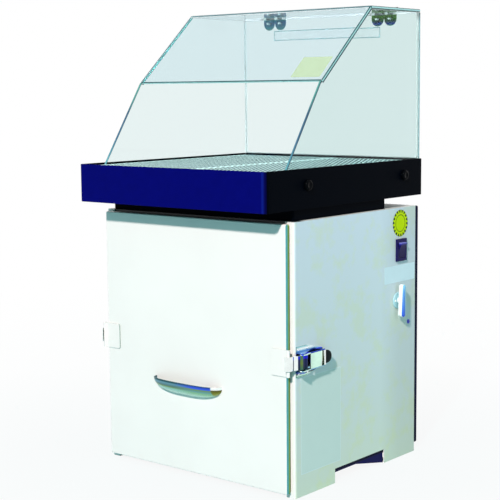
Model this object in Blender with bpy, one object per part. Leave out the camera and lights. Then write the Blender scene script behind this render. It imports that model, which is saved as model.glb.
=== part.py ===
"""Downdraft work table: a sheet-steel dust collector cabinet under a perforated work tray with a clear hood."""

import math

import bmesh
import bpy
from mathutils import Matrix, Vector

# Overall sizes, in metres: X to the right, Y to the back, Z up
TRAY_WIDTH = 0.500
TRAY_DEPTH = 0.5365
TRAY_HEIGHT = 0.078
HOOD_HEIGHT = 0.317
CABINET_WIDTH = 0.506
CABINET_DEPTH = 0.430
CABINET_HEIGHT = 0.542
CABINET_SETBACK = 0.082
NECK_HEIGHT = 0.022
WORK_HEIGHT = CABINET_HEIGHT + NECK_HEIGHT + TRAY_HEIGHT

# Clearances and shared stock
SEAT_GAP = 0.0003
RUNNING_GAP = 0.0001
CUT_OVERRUN = 0.002
SHEET = 0.002
BEND_RADIUS = 0.0025
BEND_STEPS = 4
ROUND_STEPS = 28
SMALL_ROUND_STEPS = 16
SMOOTH_ANGLE = math.radians(35)

# Hinges of the hood's lid, which set how far the table reaches behind the tray
KNUCKLE_RADIUS = 0.004
HINGE_PIN_RADIUS = 0.0020
HINGE_LEAF = 0.0018
HINGE_WIDTH = 0.064
HINGE_END_INSET = 0.100
HINGE_MIDDLE_KNUCKLE = 0.030
HINGE_LEAF_REACH = 0.032
HINGE_LOBE_RADIUS = 0.0155
HINGE_HOLE_RADIUS = 0.0028
HINGE_PIN_HEAD_RADIUS = 0.0034
HINGE_PIN_HEAD = 0.0025
HINGE_AXIS_OFFSET = SEAT_GAP + KNUCKLE_RADIUS
HINGE_REACH = HINGE_AXIS_OFFSET + KNUCKLE_RADIUS

FRONT = -(TRAY_DEPTH + HINGE_REACH) / 2
TRAY_REAR = FRONT + TRAY_DEPTH
CABINET_FRONT = FRONT + CABINET_SETBACK
CABINET_REAR = CABINET_FRONT + CABINET_DEPTH
CABINET_SIDE = CABINET_WIDTH / 2
TRAY_BOTTOM = WORK_HEIGHT - TRAY_HEIGHT
HOOD_TOP = WORK_HEIGHT + HOOD_HEIGHT

# Cabinet side panels
FRONT_FLANGE = 0.022
REAR_FLANGE = 0.015
NOTCH_START = 0.131
NOTCH_LENGTH = 0.178
NOTCH_HEIGHT = 0.030
FOOT_FLANGE = 0.022

# Cabinet base and top
BASE_HEIGHT = 0.020
BASE_FLANGE = 0.012
BASE_BEND = 0.006
PAN_CORNER = 0.003
RUNNER_WIDTH = 0.010
RUNNER_SPACING = 0.340
TOP_FLANGE = 0.018
INLET_WIDTH = 0.400
INLET_DEPTH = 0.200
INLET_SETBACK = 0.030

# Black duct between the cabinet and the tray
NECK_WIDTH = 0.485
NECK_DEPTH = 0.318
NECK_SETBACK = 0.009
NECK_WALL = 0.003
NECK_CORNER = 0.006

# Work tray
FASCIA_WRAP = 0.012
FASCIA_RADIUS = 0.007
RAIL = 0.0045
FLOOR_FLANGE = 0.014
FLOOR_CORNER = 0.004
LEDGE = 0.014
LEDGE_SHEET = 0.002
PANEL_DROP = 0.004
PANEL_SHEET = 0.002
PANEL_SPLIT = 0.032
PANEL_GAP = 0.0016
PANEL_SIDE_GAP = 0.0008
PANEL_MARGIN = 0.012
HOLE_PITCH = 0.0355
HOLE_RADIUS = 0.0095
HOLE_SIDES = 6
SPLIT_BAR_WIDTH = 0.020
SPLIT_BAR_HEIGHT = 0.012

# Clear hood
HOOD_SHEET = 0.006
HOOD_FOOT_SETBACK = 0.068
HOOD_KNEE_SETBACK = 0.1816
HOOD_KNEE_HEIGHT = 0.168
HOOD_BROW_SETBACK = 0.3494
HOOD_SKIRT = 0.052
SKIRT_CORNER = 0.004
KNOB_FRONT_SETBACK = 0.127
KNOB_REAR_INSET = 0.0705
KNOB_DROP = 0.032
KNOB_RADIUS = 0.011
KNOB_HEIGHT = 0.007
KNOB_SHANK_RADIUS = 0.004
KNOB_SHANK_GAP = 0.0005
KNOB_DOME = 0.002

# Front door with its gasket, handle, keepers and dust pan
DOOR_WIDTH = 0.4866
DOOR_BOTTOM = 0.009
DOOR_TOP_GAP = 0.0035
DOOR_DEPTH = 0.0105
DOOR_LIP = 0.018
DOOR_CORNER = 0.0025
GASKET_WIDTH = 0.016
GASKET_DEPTH = 0.0037
HANDLE_WIDTH = 0.182
HANDLE_REACH = 0.026
HANDLE_DROP = 0.029
HANDLE_WALL = 0.0022
HANDLE_RISE_SHARE = 0.371
HANDLE_HEIGHT = CABINET_HEIGHT * HANDLE_RISE_SHARE
HANDLE_SHIFT = -0.011
HANDLE_STEPS = 18
HANDLE_TURN_STEPS = 7
HANDLE_BLUNTNESS_SHARE = 0.72
PAN_WIDTH = 0.420
PAN_DEPTH = 0.240
PAN_HEIGHT = 0.085
PAN_WALL = 0.0016

# Draw latches on the cabinet's sides, seen from above
LATCH_RISE_SHARE = 0.5
LATCH_HEIGHT = CABINET_HEIGHT * LATCH_RISE_SHARE
LATCH_PIVOT_SETBACK = 0.089
LATCH_PIVOT_OUT = 0.0125
LATCH_CRANK = 0.013
LATCH_CRANK_IN = 0.001
LATCH_PLATE = 0.002
LATCH_PLATE_START = 0.0845
LATCH_PLATE_END = 0.168
LATCH_PLATE_TALL = 0.060
LATCH_PLATE_SHORT = 0.034
LATCH_TAPER_START = 0.115
LATCH_EAR = 0.002
LATCH_EAR_NOSE = 0.0065
LATCH_EAR_TAIL = 0.040
LEVER_WIDTH = 0.034
LEVER_CHEEK = 0.002
LEVER_PLATE_START = 0.112
LEVER_PLATE_END = 0.161
LEVER_PLATE_OUT = 0.0155
LEVER_NOSE = 0.0055
PIVOT_PIN_RADIUS = 0.0025
CRANK_PIN_RADIUS = 0.0018
LEVER_SIDE_GAP = 0.0006
GRIP_LENGTH = 0.020
GRIP_THICKNESS = 0.009
GRIP_WIDTH = 0.0255
HOOK_WIDTH = 0.028
HOOK_SHEET = 0.002
HOOK_EYE_RADIUS = 0.0036
HOOK_STRAIGHT = 0.013
HOOK_KNEE_OUT = 0.003
HOOK_KNEE_SETBACK = 0.082
HOOK_SHANK_SETBACK = 0.071
HOOK_TURN_LEAD = 0.001
HOOK_LIP = 0.012
HOOK_LIP_ANGLE = math.radians(40)
HOOK_CLEARANCE = 0.0016
KEEPER_WIDTH = 0.043
KEEPER_TALL = 0.053
KEEPER_SHEET = 0.002
KEEPER_BEAD_RADIUS = 0.0036
KEEPER_BEAD_OUT = 0.0065
KEEPER_BEAD_LEAD = 0.0024

# Switch and filter shaker on the right side
SWITCH_SETBACK = 0.4505
SWITCH_RISE_SHARE = 0.8345
SWITCH_HEIGHT = CABINET_HEIGHT * SWITCH_RISE_SHARE
SWITCH_WIDTH = 0.0375
SWITCH_TALL = 0.0475
SWITCH_BEZEL = 0.004
SWITCH_BORDER = 0.005
SWITCH_BODY_DEPTH = 0.034
SWITCH_WALL = 0.002
ROCKER_DEPTH = 0.0015
ROCKER_GAP = 0.0006
ROCKER_TILT = math.radians(12)
ROCKER_STEPS = 18
SHAKER_SETBACK = 0.440
SHAKER_RISE_SHARE = 0.6365
SHAKER_HEIGHT = CABINET_HEIGHT * SHAKER_RISE_SHARE
SHAKER_SHAFT_RADIUS = 0.005
SHAKER_SHAFT_LENGTH = 0.235
SHAKER_HOLE_GAP = 0.0004
SHAKER_PLATE_RADIUS = 0.0175
SHAKER_PLATE = 0.0025
SHAKER_GRIP_LENGTH = 0.070
SHAKER_GRIP_WIDTH = 0.0145
SHAKER_GRIP_TIP = 0.011
SHAKER_GRIP_DEPTH = 0.012
SHAKER_GRIP_TILT = math.radians(-2)
SHAKER_GRIP_ROUND = 0.003
SHAKER_NECK_RADIUS = 0.0065
SHAKER_NECK = 0.004
KNOCKER_LENGTH = 0.100
KNOCKER_WIDTH = 0.016
KNOCKER_THICKNESS = 0.010
KNOCKER_HUB_RADIUS = 0.011
KNOCKER_DROP = math.radians(20)

# Inside the cabinet
PARTITION_SETBACK = 0.248
FILTER_WIDTH = 0.400
FILTER_RISE_SHARE = 0.406
FILTER_TALL_SHARE = 0.480
FILTER_DEPTH = 0.060
FILTER_BOTTOM = CABINET_HEIGHT * FILTER_RISE_SHARE
FILTER_TALL = CABINET_HEIGHT * FILTER_TALL_SHARE
FILTER_RIM = 0.012
FILTER_WINDOW_LAP = 0.008
PLEAT_COUNT = 16
PLEAT_SHEET = 0.0015
PLEAT_DEPTH = 0.046
SHELF_RISE_SHARE = 0.513
SHELF_HEIGHT = CABINET_HEIGHT * SHELF_RISE_SHARE
FAN_SETBACK = 0.337
FAN_RADIUS = 0.080
FAN_HEIGHT = 0.046
FAN_PLATE = 0.002
FAN_TIP_GAP = 0.006
FAN_EYE_RADIUS = 0.048
FAN_HUB_RADIUS = 0.016
FAN_HUB_HEIGHT = 0.020
FAN_INNER_RADIUS = 0.044
FAN_BLADES = 9
FAN_BLADE_SHEET = 0.002
FAN_BLADE_SWEEP = math.radians(48)
FAN_BLADE_STEPS = 5
FAN_FUSE = 0.0006
INLET_RING_RADIUS = 0.062
INLET_RING_SHEET = 0.002
INLET_RING_GAP = 0.001
INLET_RING_CURVE = 0.010
INLET_RING_LAP = 0.006
MOTOR_RADIUS = 0.052
MOTOR_CAP_RADIUS = 0.040
MOTOR_CAP_HEIGHT = 0.014
MOTOR_RIBS = 18
MOTOR_RIB_DEPTH = 0.004
MOTOR_SHAFT_RADIUS = 0.006
MOTOR_BORE_GAP = 0.0005
MOTOR_BORE_DEPTH = 0.020
FAN_LIFT = 0.008
STAND_HEIGHT = 0.034
STAND_LENGTH = 0.140
STAND_WIDTH = 0.110
STAND_FOOT = 0.018
STAND_SHEET = 0.003

# Dark rear cover with its louvred outlet
REAR_COVER_DEPTH = 0.008
REAR_COVER_BOTTOM = 0.018
REAR_COVER_INSET = 0.001
REAR_COVER_CORNER = 0.003
LOUVRE_WIDTH = 0.340
LOUVRE_TALL = 0.176
LOUVRE_BOTTOM = 0.062
LOUVRE_LAP = 0.012
LOUVRE_PROUD = 0.0022
LOUVRE_ROWS = 8
LOUVRE_BORDER = 0.014
LOUVRE_SLOT = 0.0075
LOUVRE_BLADE = 0.0016
LOUVRE_BLADE_TILT = math.radians(40)
LOUVRE_BLADE_LAP = 0.0012


def clear_scene():
    for old in list(bpy.data.objects):
        bpy.data.objects.remove(old, do_unlink=True)


def finish(name, colour, roughness, metallic=0.0, alpha=1.0):
    material = bpy.data.materials.new(name)
    material.use_nodes = True
    shader = material.node_tree.nodes["Principled BSDF"]
    shader.inputs["Base Color"].default_value = (*colour, 1.0)
    shader.inputs["Roughness"].default_value = roughness
    shader.inputs["Metallic"].default_value = metallic
    shader.inputs["Alpha"].default_value = alpha
    material.diffuse_color = (*colour, alpha)
    return material


def pivot(name, place):
    empty = bpy.data.objects.new(name, None)
    bpy.context.collection.objects.link(empty)
    empty.location = place
    return empty


def middle_of(shape):
    lows = Vector([min(v.co[i] for v in shape.verts) for i in range(3)])
    highs = Vector([max(v.co[i] for v in shape.verts) for i in range(3)])
    return (lows + highs) / 2


def add_piece(name, shape, material, carrier=None):
    """Makes an object of a shape drawn in world places, with its origin on its carrier or in its own middle."""
    place = carrier.location.copy() if carrier else middle_of(shape)
    bmesh.ops.translate(shape, vec=-place, verts=shape.verts[:])
    bmesh.ops.recalc_face_normals(shape, faces=shape.faces[:])
    mesh = bpy.data.meshes.new(name)
    shape.to_mesh(mesh)
    shape.free()
    mesh.shade_smooth()
    mesh.set_sharp_from_angle(angle=SMOOTH_ANGLE)
    mesh.materials.append(material)
    piece = bpy.data.objects.new(name, mesh)
    bpy.context.collection.objects.link(piece)
    if carrier:
        piece.parent = carrier
    else:
        piece.location = place
    return piece


def box_loop(left, right, low, high):
    return [(left, low), (right, low), (right, high), (left, high)]


def round_loop(radius, centre=(0, 0), steps=ROUND_STEPS, start=0.0):
    turns = [start + 2 * math.pi * k / steps for k in range(steps)]
    return [(centre[0] + radius * math.cos(a), centre[1] + radius * math.sin(a)) for a in turns]


def arc(centre, radius, start, end, steps):
    turns = [start + (end - start) * k / steps for k in range(steps + 1)]
    return [(centre[0] + radius * math.cos(a), centre[1] + radius * math.sin(a)) for a in turns]


def soft_box_loop(left, right, low, high, radius, steps=3):
    """A rectangle with round corners, from the right side's upper corner and on anticlockwise."""
    quarter = math.pi / 2
    corners = [(right - radius, high - radius), (left + radius, high - radius)]
    corners += [(left + radius, low + radius), (right - radius, low + radius)]
    loop = []
    for k, corner in enumerate(corners):
        loop += arc(corner, radius, k * quarter, (k + 1) * quarter, steps)
    return loop


def folded_loop(path, sheet, bend=BEND_RADIUS, steps=BEND_STEPS):
    """The outline of a sheet folded along a path, with the sheet on the path's left and round bends."""
    points = [Vector(p) for p in path]
    face, back = [], []
    last = len(points) - 1
    for i, point in enumerate(points):
        if i in (0, last):
            run = (points[1] - points[0] if i == 0 else points[last] - points[last - 1]).normalized()
            left = Vector((-run.y, run.x))
            face.append(point)
            back.append(point + left * sheet)
            continue
        before = (point - points[i - 1]).normalized()
        after = (points[i + 1] - point).normalized()
        turn = math.atan2(before.x * after.y - before.y * after.x, before.dot(after))
        side = 1 if turn > 0 else -1
        face_radius = bend + sheet if turn > 0 else bend
        back_radius = face_radius - side * sheet
        start = point - before * face_radius * math.tan(abs(turn) / 2)
        left = Vector((-before.y, before.x))
        centre = start + left * side * face_radius
        for k in range(steps + 1):
            spoke = Matrix.Rotation(turn * k / steps, 2) @ (start - centre)
            face.append(centre + spoke)
            back.append(centre + spoke * (back_radius / face_radius))
    return [tuple(p) for p in face + back[::-1]]


def strip_loop(path, sheet, bend, steps=BEND_STEPS):
    """The outline of a strip whose centre line follows a path."""
    points = [Vector(p) for p in path]
    first = (points[1] - points[0]).normalized()
    shift = Vector((first.y, -first.x)) * sheet / 2
    moved = [points[0] + shift]
    for i in range(1, len(points) - 1):
        before = (points[i] - points[i - 1]).normalized()
        after = (points[i + 1] - points[i]).normalized()
        half = (Vector((before.y, -before.x)) + Vector((after.y, -after.x))).normalized()
        moved.append(points[i] + half * sheet / 2 / half.dot(Vector((before.y, -before.x))))
    final = (points[-1] - points[-2]).normalized()
    moved.append(points[-1] + Vector((final.y, -final.x)) * sheet / 2)
    return folded_loop(moved, sheet, bend, steps)


PLANES = {
    "X": Matrix(((0, 0, 1), (1, 0, 0), (0, 1, 0))),
    "Y": Matrix(((1, 0, 0), (0, 0, 1), (0, 1, 0))),
    "Z": Matrix(((1, 0, 0), (0, 1, 0), (0, 0, 1))),
}


def prism(loops, axis, start, end):
    """An outline, and the holes in it, extruded along an axis from start to end."""
    shape = bmesh.new()
    for loop in loops:
        ring = [shape.verts.new((u, v, 0)) for u, v in loop]
        for a, b in zip(ring, ring[1:] + ring[:1]):
            shape.edges.new((a, b))
    bmesh.ops.triangle_fill(shape, use_beauty=True, use_dissolve=False, edges=shape.edges[:], normal=(0, 0, 1))
    made = bmesh.ops.extrude_face_region(shape, geom=shape.faces[:])
    raised = [item for item in made["geom"] if isinstance(item, bmesh.types.BMVert)]
    bmesh.ops.translate(shape, vec=(0, 0, end - start), verts=raised)
    bmesh.ops.translate(shape, vec=(0, 0, start), verts=shape.verts[:])
    bmesh.ops.transform(shape, matrix=PLANES[axis].to_4x4(), verts=shape.verts[:])
    bmesh.ops.recalc_face_normals(shape, faces=shape.faces[:])
    return shape


def loft(sections, closed=False):
    """A solid through rings of equal count: capped at both ends, or closed on itself as a frame is."""
    shape = bmesh.new()
    rings = [[shape.verts.new(p) for p in section] for section in sections]
    pairs = list(zip(rings, rings[1:]))
    if closed:
        pairs.append((rings[-1], rings[0]))
    for lower, upper in pairs:
        for k in range(len(lower)):
            shape.faces.new((lower[k - 1], lower[k], upper[k], upper[k - 1]))
    if not closed:
        shape.faces.new(rings[0])
        shape.faces.new(rings[-1])
    bmesh.ops.recalc_face_normals(shape, faces=shape.faces[:])
    return shape


def level(loop, height):
    return [(u, v, height) for u, v in loop]


def upright(loop, depth):
    return [(u, depth, v) for u, v in loop]


def lathe(profile, steps=ROUND_STEPS):
    """A closed profile of radius and height turned round the Z axis."""
    shape = bmesh.new()
    verts = [shape.verts.new((r, 0, z)) for r, z in profile]
    edges = [shape.edges.new((a, b)) for a, b in zip(verts, verts[1:] + verts[:1])]
    bmesh.ops.spin(shape, geom=verts + edges, axis=(0, 0, 1), cent=(0, 0, 0), angle=2 * math.pi, steps=steps,
                   use_merge=True)
    bmesh.ops.remove_doubles(shape, verts=shape.verts[:], dist=RUNNING_GAP)
    bmesh.ops.recalc_face_normals(shape, faces=shape.faces[:])
    return shape


def moved(shape, offset):
    bmesh.ops.translate(shape, vec=offset, verts=shape.verts[:])
    return shape


def turned(shape, angle, axis, centre=(0, 0, 0)):
    bmesh.ops.rotate(shape, cent=centre, matrix=Matrix.Rotation(angle, 3, axis), verts=shape.verts[:])
    return shape


def mirrored(shape):
    """The same shape on the other side of the middle plane."""
    bmesh.ops.scale(shape, vec=(-1, 1, 1), verts=shape.verts[:])
    bmesh.ops.reverse_faces(shape, faces=shape.faces[:])
    return shape


def gathered(shapes):
    """Several closed shapes held in one, as tools that cut or join together."""
    whole = bmesh.new()
    for shape in shapes:
        mesh = bpy.data.meshes.new("gathered")
        shape.to_mesh(mesh)
        shape.free()
        whole.from_mesh(mesh)
        bpy.data.meshes.remove(mesh)
    return whole


def combined(shape, tools, operation):
    """A shape with the tools cut from it, or joined to it, by an exact Boolean."""
    made = []
    for part in (shape, gathered(tools)):
        mesh = bpy.data.meshes.new("working")
        part.to_mesh(mesh)
        part.free()
        body = bpy.data.objects.new("working", mesh)
        bpy.context.collection.objects.link(body)
        made.append(body)
    target, tool = made
    tool.hide_render = True
    tool.display_type = "WIRE"
    boolean = target.modifiers.new("combine", "BOOLEAN")
    boolean.object = tool
    boolean.operation = operation
    boolean.solver = "EXACT"
    boolean.use_self = operation == "UNION"
    graph = bpy.context.evaluated_depsgraph_get()
    mesh = bpy.data.meshes.new_from_object(target.evaluated_get(graph))
    result = bmesh.new()
    result.from_mesh(mesh)
    for body in made:
        used = body.data
        bpy.data.objects.remove(body, do_unlink=True)
        bpy.data.meshes.remove(used)
    bpy.data.meshes.remove(mesh)
    bmesh.ops.dissolve_degenerate(result, dist=CUT_OVERRUN / 1000, edges=result.edges[:])
    return result


def box(left, right, front, rear, low, high):
    return prism([box_loop(left, right, front, rear)], "Z", low, high)


def both_sides(name, build, material, carriers=(None, None)):
    """A right-hand piece and its mirror image."""
    for side, carrier in zip(("right", "left"), carriers):
        shape = build()
        if side == "left":
            mirrored(shape)
        add_piece(f"{name}_{side}", shape, material, carrier)


# Cabinet shell
INNER_SIDE = CABINET_SIDE - SHEET - SEAT_GAP
INNER_FRONT = CABINET_FRONT + SHEET + SEAT_GAP
INNER_REAR = CABINET_REAR - SHEET - SEAT_GAP
BASE_FLOOR = BASE_HEIGHT + SHEET
BASE_RIM = BASE_HEIGHT + BASE_FLANGE
TOP_UNDERSIDE = CABINET_HEIGHT - SHEET
ROOM_SIDE = INNER_SIDE - SHEET - SEAT_GAP
PARTITION_FRONT = CABINET_FRONT + PARTITION_SETBACK
PARTITION_REAR = PARTITION_FRONT + SHEET


def side_panel(with_controls):
    """A folded side with its front and rear returns, feet turned in under it and a toe notch between them."""
    path = [(CABINET_SIDE - FRONT_FLANGE, CABINET_FRONT), (CABINET_SIDE, CABINET_FRONT)]
    path += [(CABINET_SIDE, CABINET_REAR), (CABINET_SIDE - REAR_FLANGE, CABINET_REAR)]
    shape = prism([folded_loop(path, SHEET)], "Z", 0, CABINET_HEIGHT)
    notch_front = CABINET_FRONT + NOTCH_START
    notch_rear = notch_front + NOTCH_LENGTH
    inner = CABINET_SIDE - FOOT_FLANGE
    outer = CABINET_SIDE - SHEET / 2
    near = CABINET_FRONT + SHEET / 2
    far = CABINET_REAR - SHEET / 2
    feet = [box(inner, outer, near, notch_front + CUT_OVERRUN, 0, SHEET)]
    feet.append(box(inner, outer, notch_rear - CUT_OVERRUN, far, 0, SHEET))
    shape = combined(shape, feet, "UNION")
    wide = CABINET_SIDE + CUT_OVERRUN
    cuts = [box(inner - CUT_OVERRUN, wide, notch_front, notch_rear, -CUT_OVERRUN, NOTCH_HEIGHT)]
    if with_controls:
        cuts += control_cuts(INNER_SIDE - CUT_OVERRUN, wide)
    return combined(shape, cuts, "DIFFERENCE")


def control_cuts(inner, outer):
    """The switch's window and the shaker shaft's hole."""
    y = FRONT + SWITCH_SETBACK
    half_wide = SWITCH_WIDTH / 2 - SWITCH_BORDER + SEAT_GAP
    half_tall = SWITCH_TALL / 2 - SWITCH_BORDER + SEAT_GAP
    window = box_loop(y - half_wide, y + half_wide, SWITCH_HEIGHT - half_tall, SWITCH_HEIGHT + half_tall)
    shaft = round_loop(SHAKER_SHAFT_RADIUS + SHAKER_HOLE_GAP, (FRONT + SHAKER_SETBACK, SHAKER_HEIGHT),
                       SMALL_ROUND_STEPS)
    return [prism([loop], "X", inner, outer) for loop in (window, shaft)]


def base_pan():
    """The bottom tray with its flanges up, a round lower edge and two pressed runners for the dust pan."""
    sections = []
    for k in range(BEND_STEPS + 1):
        turn = math.pi / 2 * k / BEND_STEPS
        inset = BASE_BEND * (1 - math.sin(turn))
        height = BASE_HEIGHT + BASE_BEND * (1 - math.cos(turn))
        sections.append(level(pan_loop(inset), height))
    sections.append(level(pan_loop(0), BASE_RIM))
    sections.append(level(pan_loop(SHEET), BASE_RIM))
    for k in range(BEND_STEPS, -1, -1):
        turn = math.pi / 2 * k / BEND_STEPS
        radius = BASE_BEND - SHEET
        inset = SHEET + radius * (1 - math.sin(turn))
        sections.append(level(pan_loop(inset), BASE_FLOOR + radius * (1 - math.cos(turn))))
    shape = loft(sections)
    runners = []
    for middle in (-RUNNER_SPACING / 2, RUNNER_SPACING / 2):
        left = middle - RUNNER_WIDTH / 2
        right = middle + RUNNER_WIDTH / 2
        front = INNER_FRONT + BASE_BEND
        runners.append(box(left, right, front, PARTITION_FRONT - SEAT_GAP, BASE_FLOOR - SHEET / 2, BASE_RIM))
    return combined(shape, runners, "UNION")


def pan_loop(inset):
    radius = PAN_CORNER + BASE_BEND - inset
    return soft_box_loop(-INNER_SIDE + inset, INNER_SIDE - inset, INNER_FRONT + inset, INNER_REAR - inset, radius)


def top_plate():
    """The cabinet's top with its flanges down and the air inlet cut in it."""
    front = CABINET_FRONT + INLET_SETBACK
    hole = (-INLET_WIDTH / 2, INLET_WIDTH / 2, front, front + INLET_DEPTH)
    outer = (-INNER_SIDE, INNER_SIDE, INNER_FRONT, INNER_REAR)
    inner = (-INNER_SIDE + SHEET, INNER_SIDE - SHEET, INNER_FRONT + SHEET, INNER_REAR - SHEET)
    low = CABINET_HEIGHT - TOP_FLANGE
    chain = [(hole, CABINET_HEIGHT), (outer, CABINET_HEIGHT), (outer, low), (inner, low)]
    chain += [(inner, TOP_UNDERSIDE), (hole, TOP_UNDERSIDE)]
    return loft([level(soft_box_loop(*sides, PAN_CORNER), z) for sides, z in chain], closed=True)


def frame_solid(outer, wall, corner, low, high):
    """An upright rectangular tube."""
    left, right, front, rear = outer
    outside = soft_box_loop(left, right, front, rear, corner)
    inside = soft_box_loop(left + wall, right - wall, front + wall, rear - wall, corner - wall / 2)
    return loft([level(outside, low), level(outside, high), level(inside, high), level(inside, low)], closed=True)


def neck_duct():
    front = CABINET_FRONT + NECK_SETBACK
    sides = (-NECK_WIDTH / 2, NECK_WIDTH / 2, front, front + NECK_DEPTH)
    return frame_solid(sides, NECK_WALL, NECK_CORNER, CABINET_HEIGHT + SEAT_GAP, TRAY_BOTTOM - SEAT_GAP)


def partition():
    """The wall between the dusty front room and the clean rear room, with the filter's window."""
    foot = BASE_FLOOR + SEAT_GAP
    head = TOP_UNDERSIDE - SEAT_GAP
    outline = [(-ROOM_SIDE + BASE_BEND, foot), (ROOM_SIDE - BASE_BEND, foot), (ROOM_SIDE, foot + BASE_BEND)]
    outline += [(ROOM_SIDE, head), (-ROOM_SIDE, head), (-ROOM_SIDE, foot + BASE_BEND)]
    reach = FILTER_WIDTH / 2 - FILTER_RIM - FILTER_WINDOW_LAP
    low = FILTER_BOTTOM + FILTER_RIM + FILTER_WINDOW_LAP
    high = FILTER_BOTTOM + FILTER_TALL - FILTER_RIM - FILTER_WINDOW_LAP
    return prism([outline, box_loop(-reach, reach, low, high)], "Y", PARTITION_FRONT, PARTITION_REAR)


def filter_frame():
    rear = PARTITION_FRONT - SEAT_GAP
    high = FILTER_BOTTOM + FILTER_TALL
    outer = box_loop(-FILTER_WIDTH / 2, FILTER_WIDTH / 2, FILTER_BOTTOM, high)
    reach = FILTER_WIDTH / 2 - FILTER_RIM
    inner = box_loop(-reach, reach, FILTER_BOTTOM + FILTER_RIM, high - FILTER_RIM)
    return prism([outer, inner], "Y", rear - FILTER_DEPTH, rear)


def filter_pleats():
    """One sheet of filter cloth folded to and fro between the frame's sides."""
    reach = FILTER_WIDTH / 2 - FILTER_RIM - SEAT_GAP
    middle = PARTITION_FRONT - SEAT_GAP - FILTER_DEPTH / 2
    folds = 2 * PLEAT_COUNT
    front, back = [], []
    for k in range(folds + 1):
        x = -reach + 2 * reach * k / folds
        y = middle + (PLEAT_DEPTH / 2 if k % 2 else -PLEAT_DEPTH / 2)
        slant = math.hypot(PLEAT_DEPTH, 2 * reach / folds) / (2 * reach / folds)
        front.append((x, y - PLEAT_SHEET * slant / 2))
        back.append((x, y + PLEAT_SHEET * slant / 2))
    low = FILTER_BOTTOM + FILTER_RIM + SEAT_GAP
    high = FILTER_BOTTOM + FILTER_TALL - FILTER_RIM - SEAT_GAP
    return prism([front + back[::-1]], "Z", low, high)


# Fan room behind the partition
SHELF_TOP = SHELF_HEIGHT + SHEET
FAN_Y = CABINET_FRONT + FAN_SETBACK
SHROUD_TOP = SHELF_HEIGHT - FAN_TIP_GAP
FAN_BOTTOM = SHROUD_TOP - FAN_HEIGHT
STAND_TOP = BASE_FLOOR + SEAT_GAP + STAND_HEIGHT
MOTOR_BOTTOM = STAND_TOP + SEAT_GAP
MOTOR_TOP = FAN_BOTTOM - FAN_LIFT


def fan_shelf():
    rear = INNER_REAR - SHEET - SEAT_GAP
    outline = box_loop(-ROOM_SIDE, ROOM_SIDE, PARTITION_REAR + SEAT_GAP, rear)
    hole = round_loop(INLET_RING_RADIUS, (0, FAN_Y))
    return prism([outline, hole], "Z", SHELF_HEIGHT, SHELF_TOP)


def inlet_ring():
    """The bell mouth that leads air from the shelf down into the fan's eye."""
    flange_low = SHELF_TOP + SEAT_GAP
    throat = FAN_EYE_RADIUS - INLET_RING_SHEET - INLET_RING_GAP
    centre = (throat + INLET_RING_CURVE, flange_low + INLET_RING_SHEET - INLET_RING_CURVE)
    inner = arc(centre, INLET_RING_CURVE, math.pi, math.pi / 2, BEND_STEPS)
    outer = arc(centre, INLET_RING_CURVE - INLET_RING_SHEET, math.pi / 2, math.pi, BEND_STEPS)
    edge = INLET_RING_RADIUS + INLET_RING_LAP
    low = SHROUD_TOP - FAN_PLATE + FAN_FUSE + INLET_RING_GAP
    profile = [(throat, low)] + inner + [(edge, flange_low + INLET_RING_SHEET), (edge, flange_low)]
    profile += outer + [(throat + INLET_RING_SHEET, low)]
    return moved(lathe(profile), (0, FAN_Y, 0))


def fan_blade(turn):
    """A backward-curved blade, drawn as a thin crescent from the eye to the rim."""
    face, back = [], []
    for k in range(FAN_BLADE_STEPS + 1):
        share = k / FAN_BLADE_STEPS
        radius = FAN_INNER_RADIUS + (FAN_RADIUS - FAN_BLADE_SHEET - FAN_INNER_RADIUS) * share
        angle = turn - FAN_BLADE_SWEEP * share * share
        half = FAN_BLADE_SHEET / 2 / radius
        face.append((radius * math.cos(angle - half), radius * math.sin(angle - half)))
        back.append((radius * math.cos(angle + half), radius * math.sin(angle + half)))
    return prism([face + back[::-1]], "Z", FAN_BOTTOM + FAN_PLATE - FAN_FUSE, SHROUD_TOP - FAN_PLATE + FAN_FUSE)


def impeller():
    """Back plate, hub, nine swept blades and a shroud with an open eye, all one casting."""
    hub_top = FAN_BOTTOM + FAN_PLATE + FAN_HUB_HEIGHT
    bore = MOTOR_SHAFT_RADIUS + RUNNING_GAP
    profile = [(bore, FAN_BOTTOM), (FAN_RADIUS, FAN_BOTTOM), (FAN_RADIUS, FAN_BOTTOM + FAN_PLATE)]
    profile += [(FAN_HUB_RADIUS, FAN_BOTTOM + FAN_PLATE), (FAN_HUB_RADIUS, hub_top), (bore, hub_top)]
    shape = lathe(profile)
    shroud_low = SHROUD_TOP - FAN_PLATE
    shroud = [(FAN_EYE_RADIUS, shroud_low), (FAN_RADIUS, shroud_low), (FAN_RADIUS, SHROUD_TOP)]
    shroud.append((FAN_EYE_RADIUS, SHROUD_TOP))
    extras = [lathe(shroud)] + [fan_blade(2 * math.pi * k / FAN_BLADES) for k in range(FAN_BLADES)]
    return moved(combined(shape, extras, "UNION"), (0, FAN_Y, 0))


def motor_shaft():
    low = MOTOR_TOP - MOTOR_BORE_DEPTH + SEAT_GAP
    high = FAN_BOTTOM + FAN_PLATE + FAN_HUB_HEIGHT
    return prism([round_loop(MOTOR_SHAFT_RADIUS, (0, FAN_Y), SMALL_ROUND_STEPS)], "Z", low, high)


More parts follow.
